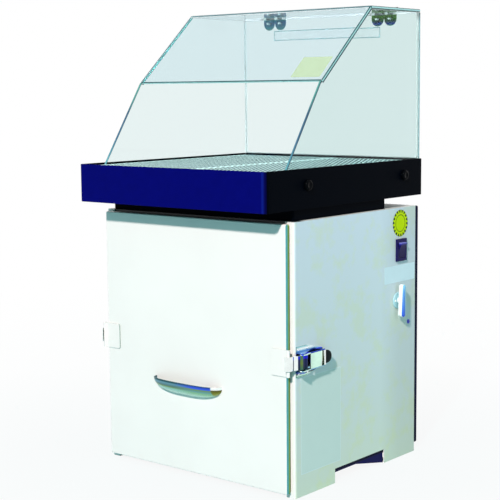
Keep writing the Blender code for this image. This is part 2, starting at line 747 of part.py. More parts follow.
def motor():
    """A ribbed motor case with a stepped top and the bore that its shaft turns in."""
    loop = []
    for k in range(MOTOR_RIBS):
        for radius, offset_share in ((0, 0), (1, 0.5)):
            angle = 2 * math.pi * (k + offset_share) / MOTOR_RIBS
            reach = MOTOR_RADIUS - MOTOR_RIB_DEPTH * radius
            loop.append((reach * math.cos(angle), FAN_Y + reach * math.sin(angle)))
    body_top = MOTOR_TOP - MOTOR_CAP_HEIGHT
    cap = round_loop(MOTOR_CAP_RADIUS, (0, FAN_Y), len(loop))
    shape = loft([level(loop, MOTOR_BOTTOM), level(loop, body_top), level(cap, body_top), level(cap, MOTOR_TOP)])
    bore = round_loop(MOTOR_SHAFT_RADIUS + MOTOR_BORE_GAP, (0, FAN_Y), SMALL_ROUND_STEPS)
    tool = prism([bore], "Z", MOTOR_TOP - MOTOR_BORE_DEPTH, MOTOR_TOP + CUT_OVERRUN)
    return combined(shape, [tool], "DIFFERENCE")


def motor_stand():
    """A folded bridge that holds the motor off the base."""
    half = STAND_WIDTH / 2
    low = BASE_FLOOR + SEAT_GAP
    path = [(-half - STAND_FOOT, low + STAND_SHEET), (-half, low + STAND_SHEET), (-half, STAND_TOP)]
    path += [(half, STAND_TOP), (half, low + STAND_SHEET), (half + STAND_FOOT, low + STAND_SHEET)]
    outline = folded_loop([(x, z) for x, z in path[::-1]], STAND_SHEET)
    return prism([outline], "Y", FAN_Y - STAND_LENGTH / 2, FAN_Y + STAND_LENGTH / 2)


# Rear cover
COVER_FRONT = CABINET_REAR + SEAT_GAP
COVER_REAR = COVER_FRONT + REAR_COVER_DEPTH
COVER_SIDE = CABINET_SIDE - REAR_COVER_INSET


def rear_cover():
    """A shallow dark pan over the cabinet's back with a window for the louvred outlet."""
    sides = (-COVER_SIDE, COVER_SIDE, REAR_COVER_BOTTOM, CABINET_HEIGHT - REAR_COVER_INSET)
    reach = LOUVRE_WIDTH / 2 - LOUVRE_LAP
    hole = (-reach, reach, LOUVRE_BOTTOM + LOUVRE_LAP, LOUVRE_BOTTOM + LOUVRE_TALL - LOUVRE_LAP)
    inner = (sides[0] + SHEET, sides[1] - SHEET, sides[2] + SHEET, sides[3] - SHEET)
    chain = [(hole, COVER_REAR, REAR_COVER_CORNER), (sides, COVER_REAR, REAR_COVER_CORNER)]
    chain += [(sides, COVER_FRONT, REAR_COVER_CORNER), (inner, COVER_FRONT, REAR_COVER_CORNER / 2)]
    chain += [(inner, COVER_REAR - SHEET, REAR_COVER_CORNER / 2), (hole, COVER_REAR - SHEET, REAR_COVER_CORNER)]
    return loft([upright(soft_box_loop(*s, r), y) for s, y, r in chain], closed=True)


def exhaust_louvre():
    """The outlet plate: rows of slots, each under a blade that slants down and out."""
    reach = LOUVRE_WIDTH / 2
    front = COVER_REAR + SEAT_GAP
    high = LOUVRE_BOTTOM + LOUVRE_TALL
    loops = [soft_box_loop(-reach, reach, LOUVRE_BOTTOM, high, LOUVRE_LAP / 2)]
    pitch = (LOUVRE_TALL - 2 * LOUVRE_BORDER) / LOUVRE_ROWS
    slot = reach - LOUVRE_BORDER
    middles = [LOUVRE_BOTTOM + LOUVRE_BORDER + pitch * (k + 0.5) for k in range(LOUVRE_ROWS)]
    loops += [box_loop(-slot, slot, z - LOUVRE_SLOT / 2, z + LOUVRE_SLOT / 2) for z in middles]
    shape = prism(loops, "Y", front, front + LOUVRE_PROUD)
    blades = []
    for z in middles:
        top = z + LOUVRE_SLOT / 2 + LOUVRE_BLADE / 2
        blade_reach = LOUVRE_SLOT / math.tan(LOUVRE_BLADE_TILT)
        rear = front + LOUVRE_PROUD + blade_reach
        outline = [(front + LOUVRE_BLADE_LAP, top - LOUVRE_BLADE / 2), (front + LOUVRE_BLADE_LAP, top + LOUVRE_BLADE)]
        outline += [(rear, top - LOUVRE_SLOT + LOUVRE_BLADE), (rear, top - LOUVRE_SLOT)]
        blades.append(prism([outline], "X", -slot - LOUVRE_BLADE_LAP, slot + LOUVRE_BLADE_LAP))
    return combined(shape, blades, "UNION")


# Work tray
HOOD_SIDE = TRAY_WIDTH / 2 - RAIL - SEAT_GAP
HOOD_INNER = HOOD_SIDE - HOOD_SHEET
FASCIA_INNER = FRONT + SHEET
PANEL_TOP = WORK_HEIGHT - PANEL_DROP
PANEL_UNDERSIDE = PANEL_TOP - PANEL_SHEET
LEDGE_TOP = PANEL_UNDERSIDE - SEAT_GAP
SKIRT_BOTTOM = WORK_HEIGHT - HOOD_SKIRT
KNOB_Z = WORK_HEIGHT - KNOB_DROP
KNOB_PLACES = {"front": FRONT + KNOB_FRONT_SETBACK, "rear": TRAY_REAR - KNOB_REAR_INSET}
REAR_RAIL_FRONT = TRAY_REAR - HOOD_SHEET


def tray_fascia():
    """The front board, with round corners that lead into the sides."""
    half = TRAY_WIDTH / 2
    path = [(-half, FRONT + FASCIA_WRAP), (-half, FRONT), (half, FRONT), (half, FRONT + FASCIA_WRAP)]
    return prism([folded_loop(path, SHEET, FASCIA_RADIUS, BEND_STEPS + 2)], "Z", TRAY_BOTTOM, WORK_HEIGHT)


def tray_rail_side():
    """A side rail with the holes for the hood's clamping knobs."""
    front = FRONT + FASCIA_WRAP + SEAT_GAP
    loops = [box_loop(front, TRAY_REAR, TRAY_BOTTOM, WORK_HEIGHT)]
    loops += knob_holes()
    return prism(loops, "X", TRAY_WIDTH / 2 - RAIL, TRAY_WIDTH / 2)


def knob_holes():
    radius = KNOB_SHANK_RADIUS + KNOB_SHANK_GAP
    return [round_loop(radius, (y, KNOB_Z), SMALL_ROUND_STEPS) for y in KNOB_PLACES.values()]


def tray_rail_rear():
    half = HOOD_INNER - SEAT_GAP
    return prism([box_loop(-half, half, TRAY_BOTTOM, WORK_HEIGHT)], "Y", REAR_RAIL_FRONT, TRAY_REAR)


def tray_floor():
    """The tray's bottom with its flanges up and the outlet over the neck."""
    front = CABINET_FRONT + INLET_SETBACK
    hole = (-INLET_WIDTH / 2, INLET_WIDTH / 2, front, front + INLET_DEPTH)
    half = TRAY_WIDTH / 2 - RAIL - SEAT_GAP
    outer = (-half, half, FASCIA_INNER + SEAT_GAP, REAR_RAIL_FRONT - SEAT_GAP)
    inner = (outer[0] + SHEET, outer[1] - SHEET, outer[2] + SHEET, outer[3] - SHEET)
    low = TRAY_BOTTOM
    chain = [(hole, low), (outer, low), (outer, low + FLOOR_FLANGE), (inner, low + FLOOR_FLANGE)]
    chain += [(inner, low + SHEET), (hole, low + SHEET)]
    return loft([level(soft_box_loop(*sides, FLOOR_CORNER), z) for sides, z in chain], closed=True)


def ledge_front():
    """The angle on the fascia that the perforated panels rest on."""
    wall = FASCIA_INNER + SEAT_GAP
    path = [(wall + LEDGE, LEDGE_TOP), (wall, LEDGE_TOP), (wall, LEDGE_TOP - LEDGE)]
    return ledge_on(path)


def ledge_rear():
    """The angle on the rear rail, a little deeper since the panels stop short of the hood's rear sheet."""
    wall = REAR_RAIL_FRONT - SEAT_GAP
    path = [(wall, LEDGE_TOP - LEDGE), (wall, LEDGE_TOP), (wall - LEDGE, LEDGE_TOP)]
    return ledge_on(path)


def ledge_on(path):
    half = HOOD_INNER - SEAT_GAP
    return prism([folded_loop(path, LEDGE_SHEET, BEND_RADIUS / 2)], "X", -half, half)


def split_bar():
    """The bar under the seam between the two panels, with ends that step down below the ledges."""
    left = PANEL_SPLIT - SPLIT_BAR_WIDTH / 2
    ends = LEDGE_SHEET + BEND_RADIUS
    front, rear = FASCIA_INNER, REAR_RAIL_FRONT
    step = LEDGE + 2 * SEAT_GAP
    low = LEDGE_TOP - SPLIT_BAR_HEIGHT
    under = LEDGE_TOP - LEDGE_SHEET - SEAT_GAP
    outline = [(front + ends, low), (rear - ends, low), (rear - ends, under), (rear - step, under)]
    outline += [(rear - step, LEDGE_TOP), (front + step, LEDGE_TOP), (front + step, under), (front + ends, under)]
    return prism([outline], "X", left, left + SPLIT_BAR_WIDTH)


def perforated_panel(left, right):
    """A lift-out plate with round holes in staggered rows."""
    front = FASCIA_INNER + PANEL_SIDE_GAP
    rear = REAR_RAIL_FRONT - PANEL_SIDE_GAP
    loops = [box_loop(left, right, front, rear)]
    across = right - left - 2 * PANEL_MARGIN
    along = rear - front - 2 * PANEL_MARGIN
    row_pitch = HOLE_PITCH * math.sqrt(3) / 2
    columns = int(across / HOLE_PITCH)
    rows = int(along / row_pitch)
    first_x = (left + right) / 2 - HOLE_PITCH * (columns - 0.5) / 2
    first_y = (front + rear) / 2 - row_pitch * (rows - 1) / 2
    for row in range(rows):
        for column in range(columns):
            x = first_x + HOLE_PITCH * (column + 0.5 * (row % 2))
            loops.append(round_loop(HOLE_RADIUS, (x, first_y + row_pitch * row), HOLE_SIDES, math.pi / HOLE_SIDES))
    return prism(loops, "Z", PANEL_UNDERSIDE, PANEL_TOP)


# Clear hood, drawn from the side as setback and height
KNEE = Vector((FRONT + HOOD_KNEE_SETBACK, WORK_HEIGHT + HOOD_KNEE_HEIGHT))
BROW = Vector((FRONT + HOOD_BROW_SETBACK, HOOD_TOP))
SLOPE = (BROW - KNEE).normalized()
INWARD = Vector((SLOPE.y, -SLOPE.x))
LID_UNDERSIDE = HOOD_TOP - HOOD_SHEET


def along_slope(depth, height):
    """Where the line that lies a depth under the shield's face crosses a height."""
    start = KNEE + INWARD * depth
    return start + SLOPE * ((height - start.y) / SLOPE.y)


def under_shield(depth):
    """Two points round the shield's lower edge: inside it, then on the side's free front edge from foot to knee."""
    edge = (KNEE - Vector((FRONT + HOOD_FOOT_SETBACK, WORK_HEIGHT))).normalized()
    inside = KNEE + INWARD * depth - SLOPE * SEAT_GAP
    return [tuple(inside), tuple(KNEE - edge * (SEAT_GAP / edge.dot(SLOPE)))]


def hood_side():
    """A side sheet: its foot runs down inside the tray's rail and its upper edges bear the lid."""
    seat = HOOD_SHEET + SEAT_GAP
    toe = FRONT + FASCIA_WRAP + SEAT_GAP
    top = LID_UNDERSIDE - SEAT_GAP
    loop = arc((toe + SKIRT_CORNER, SKIRT_BOTTOM + SKIRT_CORNER), SKIRT_CORNER, math.pi, 1.5 * math.pi, 3)
    loop += [(TRAY_REAR, SKIRT_BOTTOM), (TRAY_REAR, top), tuple(along_slope(seat, top))] + under_shield(seat)
    loop += [(FRONT + HOOD_FOOT_SETBACK, PANEL_TOP), (toe, PANEL_TOP)]
    return prism([loop] + knob_holes(), "X", HOOD_INNER, HOOD_SIDE)


def hood_rear():
    half = HOOD_INNER - SEAT_GAP
    top = LID_UNDERSIDE - SEAT_GAP
    return prism([box_loop(-half, half, WORK_HEIGHT + SEAT_GAP, top)], "Y", TRAY_REAR - HOOD_SHEET, TRAY_REAR)


def lid_top():
    """The level top sheet, mitred at its front to the shield."""
    inner = along_slope(HOOD_SHEET, LID_UNDERSIDE)
    outline = [(BROW.x + SEAT_GAP, HOOD_TOP), (inner.x + SEAT_GAP, LID_UNDERSIDE)]
    outline += [(TRAY_REAR, LID_UNDERSIDE), (TRAY_REAR, HOOD_TOP)]
    return prism([outline], "X", -HOOD_SIDE, HOOD_SIDE)


def lid_shield():
    """The sloping front sheet above the working opening."""
    inner = along_slope(HOOD_SHEET, LID_UNDERSIDE)
    low_inner = KNEE + INWARD * HOOD_SHEET
    outline = [tuple(KNEE), tuple(low_inner), tuple(inner), tuple(BROW)]
    return prism([outline], "X", -HOOD_SIDE, HOOD_SIDE)


def knob(y):
    """A black clamping knob: a domed head outside and a shank through the rail and the hood's side."""
    low = HOOD_INNER
    face = TRAY_WIDTH / 2 + SEAT_GAP
    tip = face + KNOB_HEIGHT
    profile = [(0, low), (KNOB_SHANK_RADIUS, low), (KNOB_SHANK_RADIUS, face), (KNOB_RADIUS, face)]
    profile += [(KNOB_RADIUS, tip - KNOB_DOME), (KNOB_RADIUS - KNOB_DOME, tip), (0, tip)]
    shape = turned(lathe_solid(profile), math.pi / 2, "Y")
    return moved(shape, (0, y, KNOB_Z))


def lathe_solid(profile, steps=SMALL_ROUND_STEPS):
    """A profile that starts and ends on the Z axis, turned into a solid with closed poles."""
    shape = bmesh.new()
    verts = [shape.verts.new((r, 0, z)) for r, z in profile]
    edges = [shape.edges.new((a, b)) for a, b in zip(verts, verts[1:])]
    bmesh.ops.spin(shape, geom=verts + edges, axis=(0, 0, 1), cent=(0, 0, 0), angle=2 * math.pi, steps=steps,
                   use_merge=True)
    bmesh.ops.remove_doubles(shape, verts=shape.verts[:], dist=RUNNING_GAP)
    bmesh.ops.recalc_face_normals(shape, faces=shape.faces[:])
    return shape


# Lid hinges, drawn at one hinge's middle
HINGE_Y = TRAY_REAR + HINGE_AXIS_OFFSET
HINGE_Z = HOOD_TOP + HINGE_AXIS_OFFSET


def leaf_loop(inner_half, outer_start, tab_reach, edge_reach, lobes_at):
    """A leaf's outline: knuckle tabs on one side and two round lobes on the other."""
    half = HINGE_WIDTH / 2
    if inner_half:
        top = [(-half, edge_reach), (-inner_half, edge_reach), (-inner_half, tab_reach), (inner_half, tab_reach)]
        top += [(inner_half, edge_reach), (half, edge_reach)]
    else:
        top = [(-half, tab_reach), (-outer_start, tab_reach), (-outer_start, edge_reach)]
        top += [(outer_start, edge_reach), (outer_start, tab_reach), (half, tab_reach)]
    middle = half - HINGE_LOBE_RADIUS
    lobes = []
    for x in (middle, -middle):
        lobes += arc((x, lobes_at), HINGE_LOBE_RADIUS, 0, -math.pi, 8)
    return top + lobes


def barrel(left, right):
    rings = [round_loop(KNUCKLE_RADIUS, (HINGE_Y, HINGE_Z), SMALL_ROUND_STEPS)]
    rings.append(round_loop(HINGE_PIN_RADIUS + RUNNING_GAP, (HINGE_Y, HINGE_Z), SMALL_ROUND_STEPS))
    return prism(rings, "X", left, right)


def leaf_holes(at):
    middle = HINGE_WIDTH / 2 - HINGE_LOBE_RADIUS
    return [round_loop(HINGE_HOLE_RADIUS, (x, at), 12) for x in (middle, -middle)]


def fixed_leaf(x):
    """The leaf on the hood's rear sheet, with the middle knuckle."""
    inner = HINGE_MIDDLE_KNUCKLE / 2
    tab = HINGE_Z - HINGE_PIN_RADIUS / 2
    edge = HINGE_Z - KNUCKLE_RADIUS - 2 * SEAT_GAP
    lobes = HOOD_TOP - HINGE_LEAF_REACH + HINGE_LOBE_RADIUS
    loops = [leaf_loop(inner, 0, tab, edge, lobes)] + leaf_holes(lobes)
    front = TRAY_REAR + SEAT_GAP
    plate = prism(loops, "Y", front, front + HINGE_LEAF)
    return moved(combined(plate, [barrel(-inner, inner)], "UNION"), (x, 0, 0))


def moving_leaf(x):
    """The leaf on the lid's top, with the two outer knuckles."""
    inner = HINGE_MIDDLE_KNUCKLE / 2 + SEAT_GAP
    half = HINGE_WIDTH / 2
    tab = HINGE_Y - HINGE_PIN_RADIUS / 2
    edge = HINGE_Y - KNUCKLE_RADIUS - 2 * SEAT_GAP
    lobes = TRAY_REAR - HINGE_LEAF_REACH + HINGE_LOBE_RADIUS
    loops = [leaf_loop(0, inner, tab, edge, lobes)] + leaf_holes(lobes)
    low = HOOD_TOP + SEAT_GAP
    plate = prism(loops, "Z", low, low + HINGE_LEAF)
    return moved(combined(plate, [barrel(-half, -inner), barrel(inner, half)], "UNION"), (x, 0, 0))


def hinge_pin(x):
    """The pin, with its head at the right-hand end."""
    half = HINGE_WIDTH / 2
    start = half + SEAT_GAP
    profile = [(0, -half), (HINGE_PIN_RADIUS, -half), (HINGE_PIN_RADIUS, start), (HINGE_PIN_HEAD_RADIUS, start)]
    profile += [(HINGE_PIN_HEAD_RADIUS, start + HINGE_PIN_HEAD), (0, start + HINGE_PIN_HEAD)]
    return moved(turned(lathe_solid(profile), math.pi / 2, "Y"), (x, HINGE_Y, HINGE_Z))


# Door
DOOR_TOP = CABINET_HEIGHT - DOOR_TOP_GAP
GASKET_REAR = CABINET_FRONT - SEAT_GAP
GASKET_FRONT = GASKET_REAR - GASKET_DEPTH
DOOR_BACK = GASKET_FRONT - SEAT_GAP
DOOR_FRONT = DOOR_BACK - DOOR_DEPTH
DOOR_SIDE = DOOR_WIDTH / 2


def door_sides(inset):
    return (-DOOR_SIDE + inset, DOOR_SIDE - inset, DOOR_BOTTOM + inset, DOOR_TOP - inset)


def door_panel():
    """A folded door: flat front, sides turned back and lips turned in to carry the gasket."""
    chain = [(DOOR_CORNER, DOOR_FRONT), (DOOR_CORNER / 3, DOOR_FRONT + DOOR_CORNER / 3)]
    chain += [(0, DOOR_FRONT + DOOR_CORNER), (0, DOOR_BACK), (DOOR_LIP, DOOR_BACK), (DOOR_LIP, DOOR_BACK - SHEET)]
    chain += [(SHEET, DOOR_BACK - SHEET), (SHEET, DOOR_FRONT + SHEET)]
    return loft([upright(soft_box_loop(*door_sides(inset), DOOR_CORNER), y) for inset, y in chain])


def door_gasket():
    inset = DOOR_LIP - GASKET_WIDTH
    outer = soft_box_loop(*door_sides(inset), DOOR_CORNER)
    inner = soft_box_loop(*door_sides(inset + GASKET_WIDTH), DOOR_CORNER)
    return prism([outer, inner], "Y", GASKET_FRONT, GASKET_REAR)


def door_handle():
    """A boat-shaped pull: a thin shell, straight along its open top and swept down and out below."""
    shape = bmesh.new()
    loop = []
    for wall, order in ((0, 1), (HANDLE_WALL, -1)):
        half = HANDLE_WIDTH / 2 - wall
        arch = []
        for k in range(HANDLE_STEPS + 1):
            turn = math.pi * k / HANDLE_STEPS
            x = half * math.copysign(abs(math.cos(turn)) ** HANDLE_BLUNTNESS_SHARE, math.cos(turn))
            arch.append((x, (HANDLE_REACH - wall) * abs(math.sin(turn)) ** HANDLE_BLUNTNESS_SHARE))
        loop += arch[::order]
    verts = [shape.verts.new((x, -reach, 0)) for x, reach in loop]
    edges = [shape.edges.new((a, b)) for a, b in zip(verts, verts[1:] + verts[:1])]
    face = bmesh.ops.edgeloop_fill(shape, edges=edges)["faces"]
    bmesh.ops.spin(shape, geom=face, axis=(1, 0, 0), cent=(0, 0, 0), angle=math.pi / 2, steps=HANDLE_TURN_STEPS)
    bmesh.ops.remove_doubles(shape, verts=shape.verts[:], dist=RUNNING_GAP)
    stretch = HANDLE_DROP / HANDLE_REACH
    bmesh.ops.scale(shape, vec=(1, 1, stretch), verts=shape.verts[:])
    return moved(shape, (HANDLE_SHIFT, DOOR_FRONT - SEAT_GAP, HANDLE_HEIGHT))


def dust_pan():
    """The dust pan behind the door, open at the top."""
    front = DOOR_FRONT + SHEET + SEAT_GAP
    low = BASE_RIM + SEAT_GAP
    high = low + PAN_HEIGHT
    outer = (-PAN_WIDTH / 2, PAN_WIDTH / 2, front, front + PAN_DEPTH)
    inner = (outer[0] + PAN_WALL, outer[1] - PAN_WALL, outer[2] + PAN_WALL, outer[3] - PAN_WALL)
    chain = [(outer, low), (outer, high), (inner, high), (inner, low + PAN_WALL)]
    return loft([level(soft_box_loop(*sides, PAN_CORNER), z) for sides, z in chain])


# Draw latches, drawn for the right side
LATCH_Y = FRONT + LATCH_PIVOT_SETBACK
LATCH_X = CABINET_SIDE + LATCH_PIVOT_OUT
CRANK_X = LATCH_X - LATCH_CRANK_IN
CRANK_Y = LATCH_Y + LATCH_CRANK
LATCH_FACE = CABINET_SIDE + SEAT_GAP
LEVER_HALF = LEVER_WIDTH / 2
EAR_INNER = LEVER_HALF + LEVER_SIDE_GAP
BEAD_X = DOOR_SIDE + KEEPER_BEAD_OUT
BEAD_Y = DOOR_FRONT - KEEPER_BEAD_LEAD


def latch_base():
    """The chrome back plate, wide at the pivot and narrow behind, with two ears that hold the lever's pins."""
    front = FRONT + LATCH_PLATE_START
    taper = FRONT + LATCH_TAPER_START
    rear = FRONT + LATCH_PLATE_END
    tall = LATCH_PLATE_TALL / 2
    short = LATCH_PLATE_SHORT / 2
    outline = [(front, -tall), (taper, -tall), (rear, -short), (rear, short), (taper, tall), (front, tall)]
    outline = [(y, LATCH_HEIGHT + z) for y, z in outline]
    plate = prism([outline], "X", LATCH_FACE, LATCH_FACE + LATCH_PLATE)
    nose = arc((LATCH_X, LATCH_Y), LATCH_EAR_NOSE, -math.pi / 2, math.pi / 3, 6)
    ear = [(LATCH_FACE + LATCH_PLATE / 2, LATCH_Y - LATCH_EAR_NOSE)] + nose
    ear += [(LATCH_FACE + LATCH_PLATE, LATCH_Y + LATCH_EAR_TAIL), (LATCH_FACE + LATCH_PLATE / 2, LATCH_Y + LATCH_EAR_TAIL)]
    hole = round_loop(PIVOT_PIN_RADIUS + RUNNING_GAP, (LATCH_X, LATCH_Y), SMALL_ROUND_STEPS)
    ears = []
    for low in (LATCH_HEIGHT + EAR_INNER, LATCH_HEIGHT - EAR_INNER - LATCH_EAR):
        ears.append(prism([ear, hole], "Z", low, low + LATCH_EAR))
    return combined(plate, ears, "UNION")


def latch_lever():
    """The lever: two cheeks, the plate between them, stub pins for the ears and the crank pin for the hook."""
    y_plate = FRONT + LEVER_PLATE_START
    y_end = FRONT + LEVER_PLATE_END
    x_out = CABINET_SIDE + LEVER_PLATE_OUT
    x_in = x_out - LEVER_CHEEK
    nose = arc((LATCH_X, LATCH_Y), LEVER_NOSE, math.pi, 2 * math.pi, 8)
    cheek = nose + [(x_out, y_plate), (x_out, y_end), (x_in, y_end), (x_in, y_plate + LEVER_NOSE)]
    cheek += [(CRANK_X - LEVER_NOSE, CRANK_Y + LEVER_NOSE / 2)]
    plate = box(x_in, x_out, y_plate, y_end, LATCH_HEIGHT - LEVER_HALF, LATCH_HEIGHT + LEVER_HALF)
    extras = []
    for low in (LATCH_HEIGHT + LEVER_HALF - LEVER_CHEEK, LATCH_HEIGHT - LEVER_HALF):
        extras.append(prism([cheek], "Z", low, low + LEVER_CHEEK))
    crank = round_loop(CRANK_PIN_RADIUS, (CRANK_X, CRANK_Y), SMALL_ROUND_STEPS)
    reach = LEVER_HALF - LEVER_CHEEK / 2
    extras.append(prism([crank], "Z", LATCH_HEIGHT - reach, LATCH_HEIGHT + reach))
    stub = round_loop(PIVOT_PIN_RADIUS, (LATCH_X, LATCH_Y), SMALL_ROUND_STEPS)
    tip = EAR_INNER + LATCH_EAR
    extras.append(prism([stub], "Z", LATCH_HEIGHT + reach, LATCH_HEIGHT + tip))
    extras.append(prism([stub], "Z", LATCH_HEIGHT - tip, LATCH_HEIGHT - reach))
    return combined(plate, extras, "UNION")


def lever_grip():
    """The black rounded end that the fingers lift."""
    front = FRONT + LEVER_PLATE_END + SEAT_GAP
    half = GRIP_WIDTH / 2
    square = GRIP_LENGTH - half
    x_out = CABINET_SIDE + LEVER_PLATE_OUT + SHEET / 2
    loop = [(front, LATCH_HEIGHT - half)]
    loop += [(y, z) for y, z in arc((front + square, LATCH_HEIGHT), half, -math.pi / 2, math.pi / 2, 10)]
    loop.append((front, LATCH_HEIGHT + half))
    shape = prism([loop], "X", x_out - GRIP_THICKNESS, x_out)
    return shape


def latch_hook():
    """The hook: an eye on the crank pin, a shank past the cabinet's corner and a lip that hugs the keeper's bead."""
    shank = BEAD_X + KEEPER_BEAD_RADIUS + HOOK_CLEARANCE + HOOK_SHEET / 2
    turn = BEAD_Y - HOOK_TURN_LEAD
    path = [(CRANK_X, CRANK_Y - HOOK_EYE_RADIUS + HOOK_SHEET / 2), (CRANK_X, CRANK_Y - HOOK_STRAIGHT)]
    path += [(shank + HOOK_KNEE_OUT, FRONT + HOOK_KNEE_SETBACK), (shank, FRONT + HOOK_SHANK_SETBACK), (shank, turn)]
    path.append((shank - HOOK_LIP * math.sin(HOOK_LIP_ANGLE), turn - HOOK_LIP * math.cos(HOOK_LIP_ANGLE)))
    low = LATCH_HEIGHT - HOOK_WIDTH / 2
    high = LATCH_HEIGHT + HOOK_WIDTH / 2
    arm = prism([strip_loop(path, HOOK_SHEET, HOOK_SHEET / 4, 2)], "Z", low, high)
    rings = [round_loop(HOOK_EYE_RADIUS, (CRANK_X, CRANK_Y), SMALL_ROUND_STEPS)]
    rings.append(round_loop(CRANK_PIN_RADIUS + RUNNING_GAP, (CRANK_X, CRANK_Y), SMALL_ROUND_STEPS))
    return combined(arm, [prism(rings, "Z", low, high)], "UNION")


def keeper():
    """The keeper: a plate on the door's face with a round bead along its outer edge for the hook."""
    rear = DOOR_FRONT - SEAT_GAP
    front = rear - KEEPER_SHEET
    left = DOOR_SIDE - KEEPER_WIDTH + KEEPER_BEAD_OUT
    start = math.pi + math.asin((BEAD_Y - front) / KEEPER_BEAD_RADIUS)
    end = math.pi + math.asin((BEAD_Y - rear) / KEEPER_BEAD_RADIUS) + 2 * math.pi
    loop = [(left, rear), (left, front)] + arc((BEAD_X, BEAD_Y), KEEPER_BEAD_RADIUS, start, end, 16)
    return prism([loop], "Z", LATCH_HEIGHT - KEEPER_TALL / 2, LATCH_HEIGHT + KEEPER_TALL / 2)


# Switch and shaker on the right side
SWITCH_Y = FRONT + SWITCH_SETBACK
SWITCH_FACE = CABINET_SIDE + SEAT_GAP
SHAKER_Y = FRONT + SHAKER_SETBACK
ROCKER_X = SWITCH_FACE + SWITCH_BEZEL - ROCKER_DEPTH


def switch_body():
    """The switch's case: a bezel outside, a hollow box through the window and a closed back."""
    y, z = SWITCH_Y, SWITCH_HEIGHT
    outer = (y - SWITCH_WIDTH / 2, y + SWITCH_WIDTH / 2, z - SWITCH_TALL / 2, z + SWITCH_TALL / 2)
    body = tuple(side + sign * SWITCH_BORDER for side, sign in zip(outer, (1, -1, 1, -1)))
    well = tuple(side + sign * SWITCH_WALL for side, sign in zip(body, (1, -1, 1, -1)))
    back = SWITCH_FACE - SWITCH_BODY_DEPTH
    chain = [(body, back), (body, SWITCH_FACE), (outer, SWITCH_FACE), (outer, SWITCH_FACE + SWITCH_BEZEL)]
    chain += [(well, SWITCH_FACE + SWITCH_BEZEL), (well, back + SWITCH_WALL)]
    sections = [[(x, u, v) for u, v in box_loop(*sides)] for sides, x in chain]
    return loft(sections)


def rocker():
    """The rocker: round behind its pivot, with a face of two flats, tipped so that the upper one stands out."""
    half_wide = SWITCH_WIDTH / 2 - SWITCH_BORDER - SWITCH_WALL - ROCKER_GAP
    radius = SWITCH_TALL / 2 - SWITCH_BORDER - SWITCH_WALL - ROCKER_GAP
    ridge = ROCKER_DEPTH / math.cos(ROCKER_TILT)
    corner = math.pi / 2 - ROCKER_TILT - math.asin(ridge * math.cos(ROCKER_TILT) / radius)
    loop = [(ridge, 0)] + arc((0, 0), radius, corner, 2 * math.pi - corner, ROCKER_STEPS)
    shape = moved(prism([loop], "Z", -half_wide, half_wide), (0, 0, 0))
    turned(shape, math.pi / 2, "X")
    turned(shape, ROCKER_TILT, "Y")
    return moved(shape, (ROCKER_X, SWITCH_Y, SWITCH_HEIGHT))


def shaker_plate():
    """The round guide plate under the shaker's grip."""
    rings = [round_loop(SHAKER_PLATE_RADIUS, (SHAKER_Y, SHAKER_HEIGHT))]
    rings.append(round_loop(SHAKER_SHAFT_RADIUS + SHAKER_HOLE_GAP, (SHAKER_Y, SHAKER_HEIGHT), SMALL_ROUND_STEPS))
    return prism(rings, "X", SWITCH_FACE, SWITCH_FACE + SHAKER_PLATE)


def shaker_handle():
    """The white grip outside and its shaft, which runs in over the fan shelf."""
    neck_low = SWITCH_FACE + SHAKER_PLATE + SEAT_GAP
    grip_low = neck_low + SHAKER_NECK
    grip_high = grip_low + SHAKER_GRIP_DEPTH
    tip = SHAKER_GRIP_LENGTH / 2
    loop = arc((0, tip - SHAKER_GRIP_TIP / 2), SHAKER_GRIP_TIP / 2, 0, math.pi, 6)
    loop += arc((0, -tip + SHAKER_GRIP_WIDTH / 2), SHAKER_GRIP_WIDTH / 2, math.pi, 2 * math.pi, 8)
    lean = Matrix.Rotation(SHAKER_GRIP_TILT, 2)
    loops = []
    narrower = (1 - SHAKER_GRIP_ROUND / SHAKER_GRIP_WIDTH * 2, 1 - SHAKER_GRIP_ROUND / SHAKER_GRIP_LENGTH * 2)
    for u_share, v_share in ((1.0, 1.0), (1.0, 1.0), narrower):
        points = [lean @ Vector((u * u_share, v * v_share)) for u, v in loop]
        loops.append([(SHAKER_Y + p.x, SHAKER_HEIGHT + p.y) for p in points])
    places = (grip_low, grip_high - SHAKER_GRIP_ROUND, grip_high)
    grip = loft([[(x, u, v) for u, v in ring] for x, ring in zip(places, loops)])
    neck = prism([round_loop(SHAKER_NECK_RADIUS, (SHAKER_Y, SHAKER_HEIGHT), SMALL_ROUND_STEPS)], "X", neck_low,
                 grip_low + SHAKER_GRIP_ROUND)
    shaft = prism([round_loop(SHAKER_SHAFT_RADIUS, (SHAKER_Y, SHAKER_HEIGHT), SMALL_ROUND_STEPS)], "X",
                  neck_low - SHAKER_SHAFT_LENGTH, grip_low)
    return combined(grip, [neck, shaft], "UNION")


def knocker_arm():
    """The arm on the shaft's inner end that taps the filter."""
    centre = (SHAKER_Y, SHAKER_HEIGHT)
    end = math.pi + KNOCKER_DROP
    along = Vector((math.cos(end), math.sin(end)))
    across = Vector((-along.y, along.x)) * KNOCKER_THICKNESS / 2
    tip = Vector(centre) + along * KNOCKER_LENGTH
    open_turn = math.asin(KNOCKER_THICKNESS / 2 / KNOCKER_HUB_RADIUS)
    hub = arc(centre, KNOCKER_HUB_RADIUS, end + open_turn, end - open_turn + 2 * math.pi, ROUND_STEPS // 2)
    outline = hub + [tuple(tip - across), tuple(tip + across)]
    hole = round_loop(SHAKER_SHAFT_RADIUS + RUNNING_GAP, centre, SMALL_ROUND_STEPS)
    inner = SWITCH_FACE + SHAKER_PLATE + SEAT_GAP - SHAKER_SHAFT_LENGTH
    return prism([outline, hole], "X", inner, inner + KNOCKER_WIDTH)


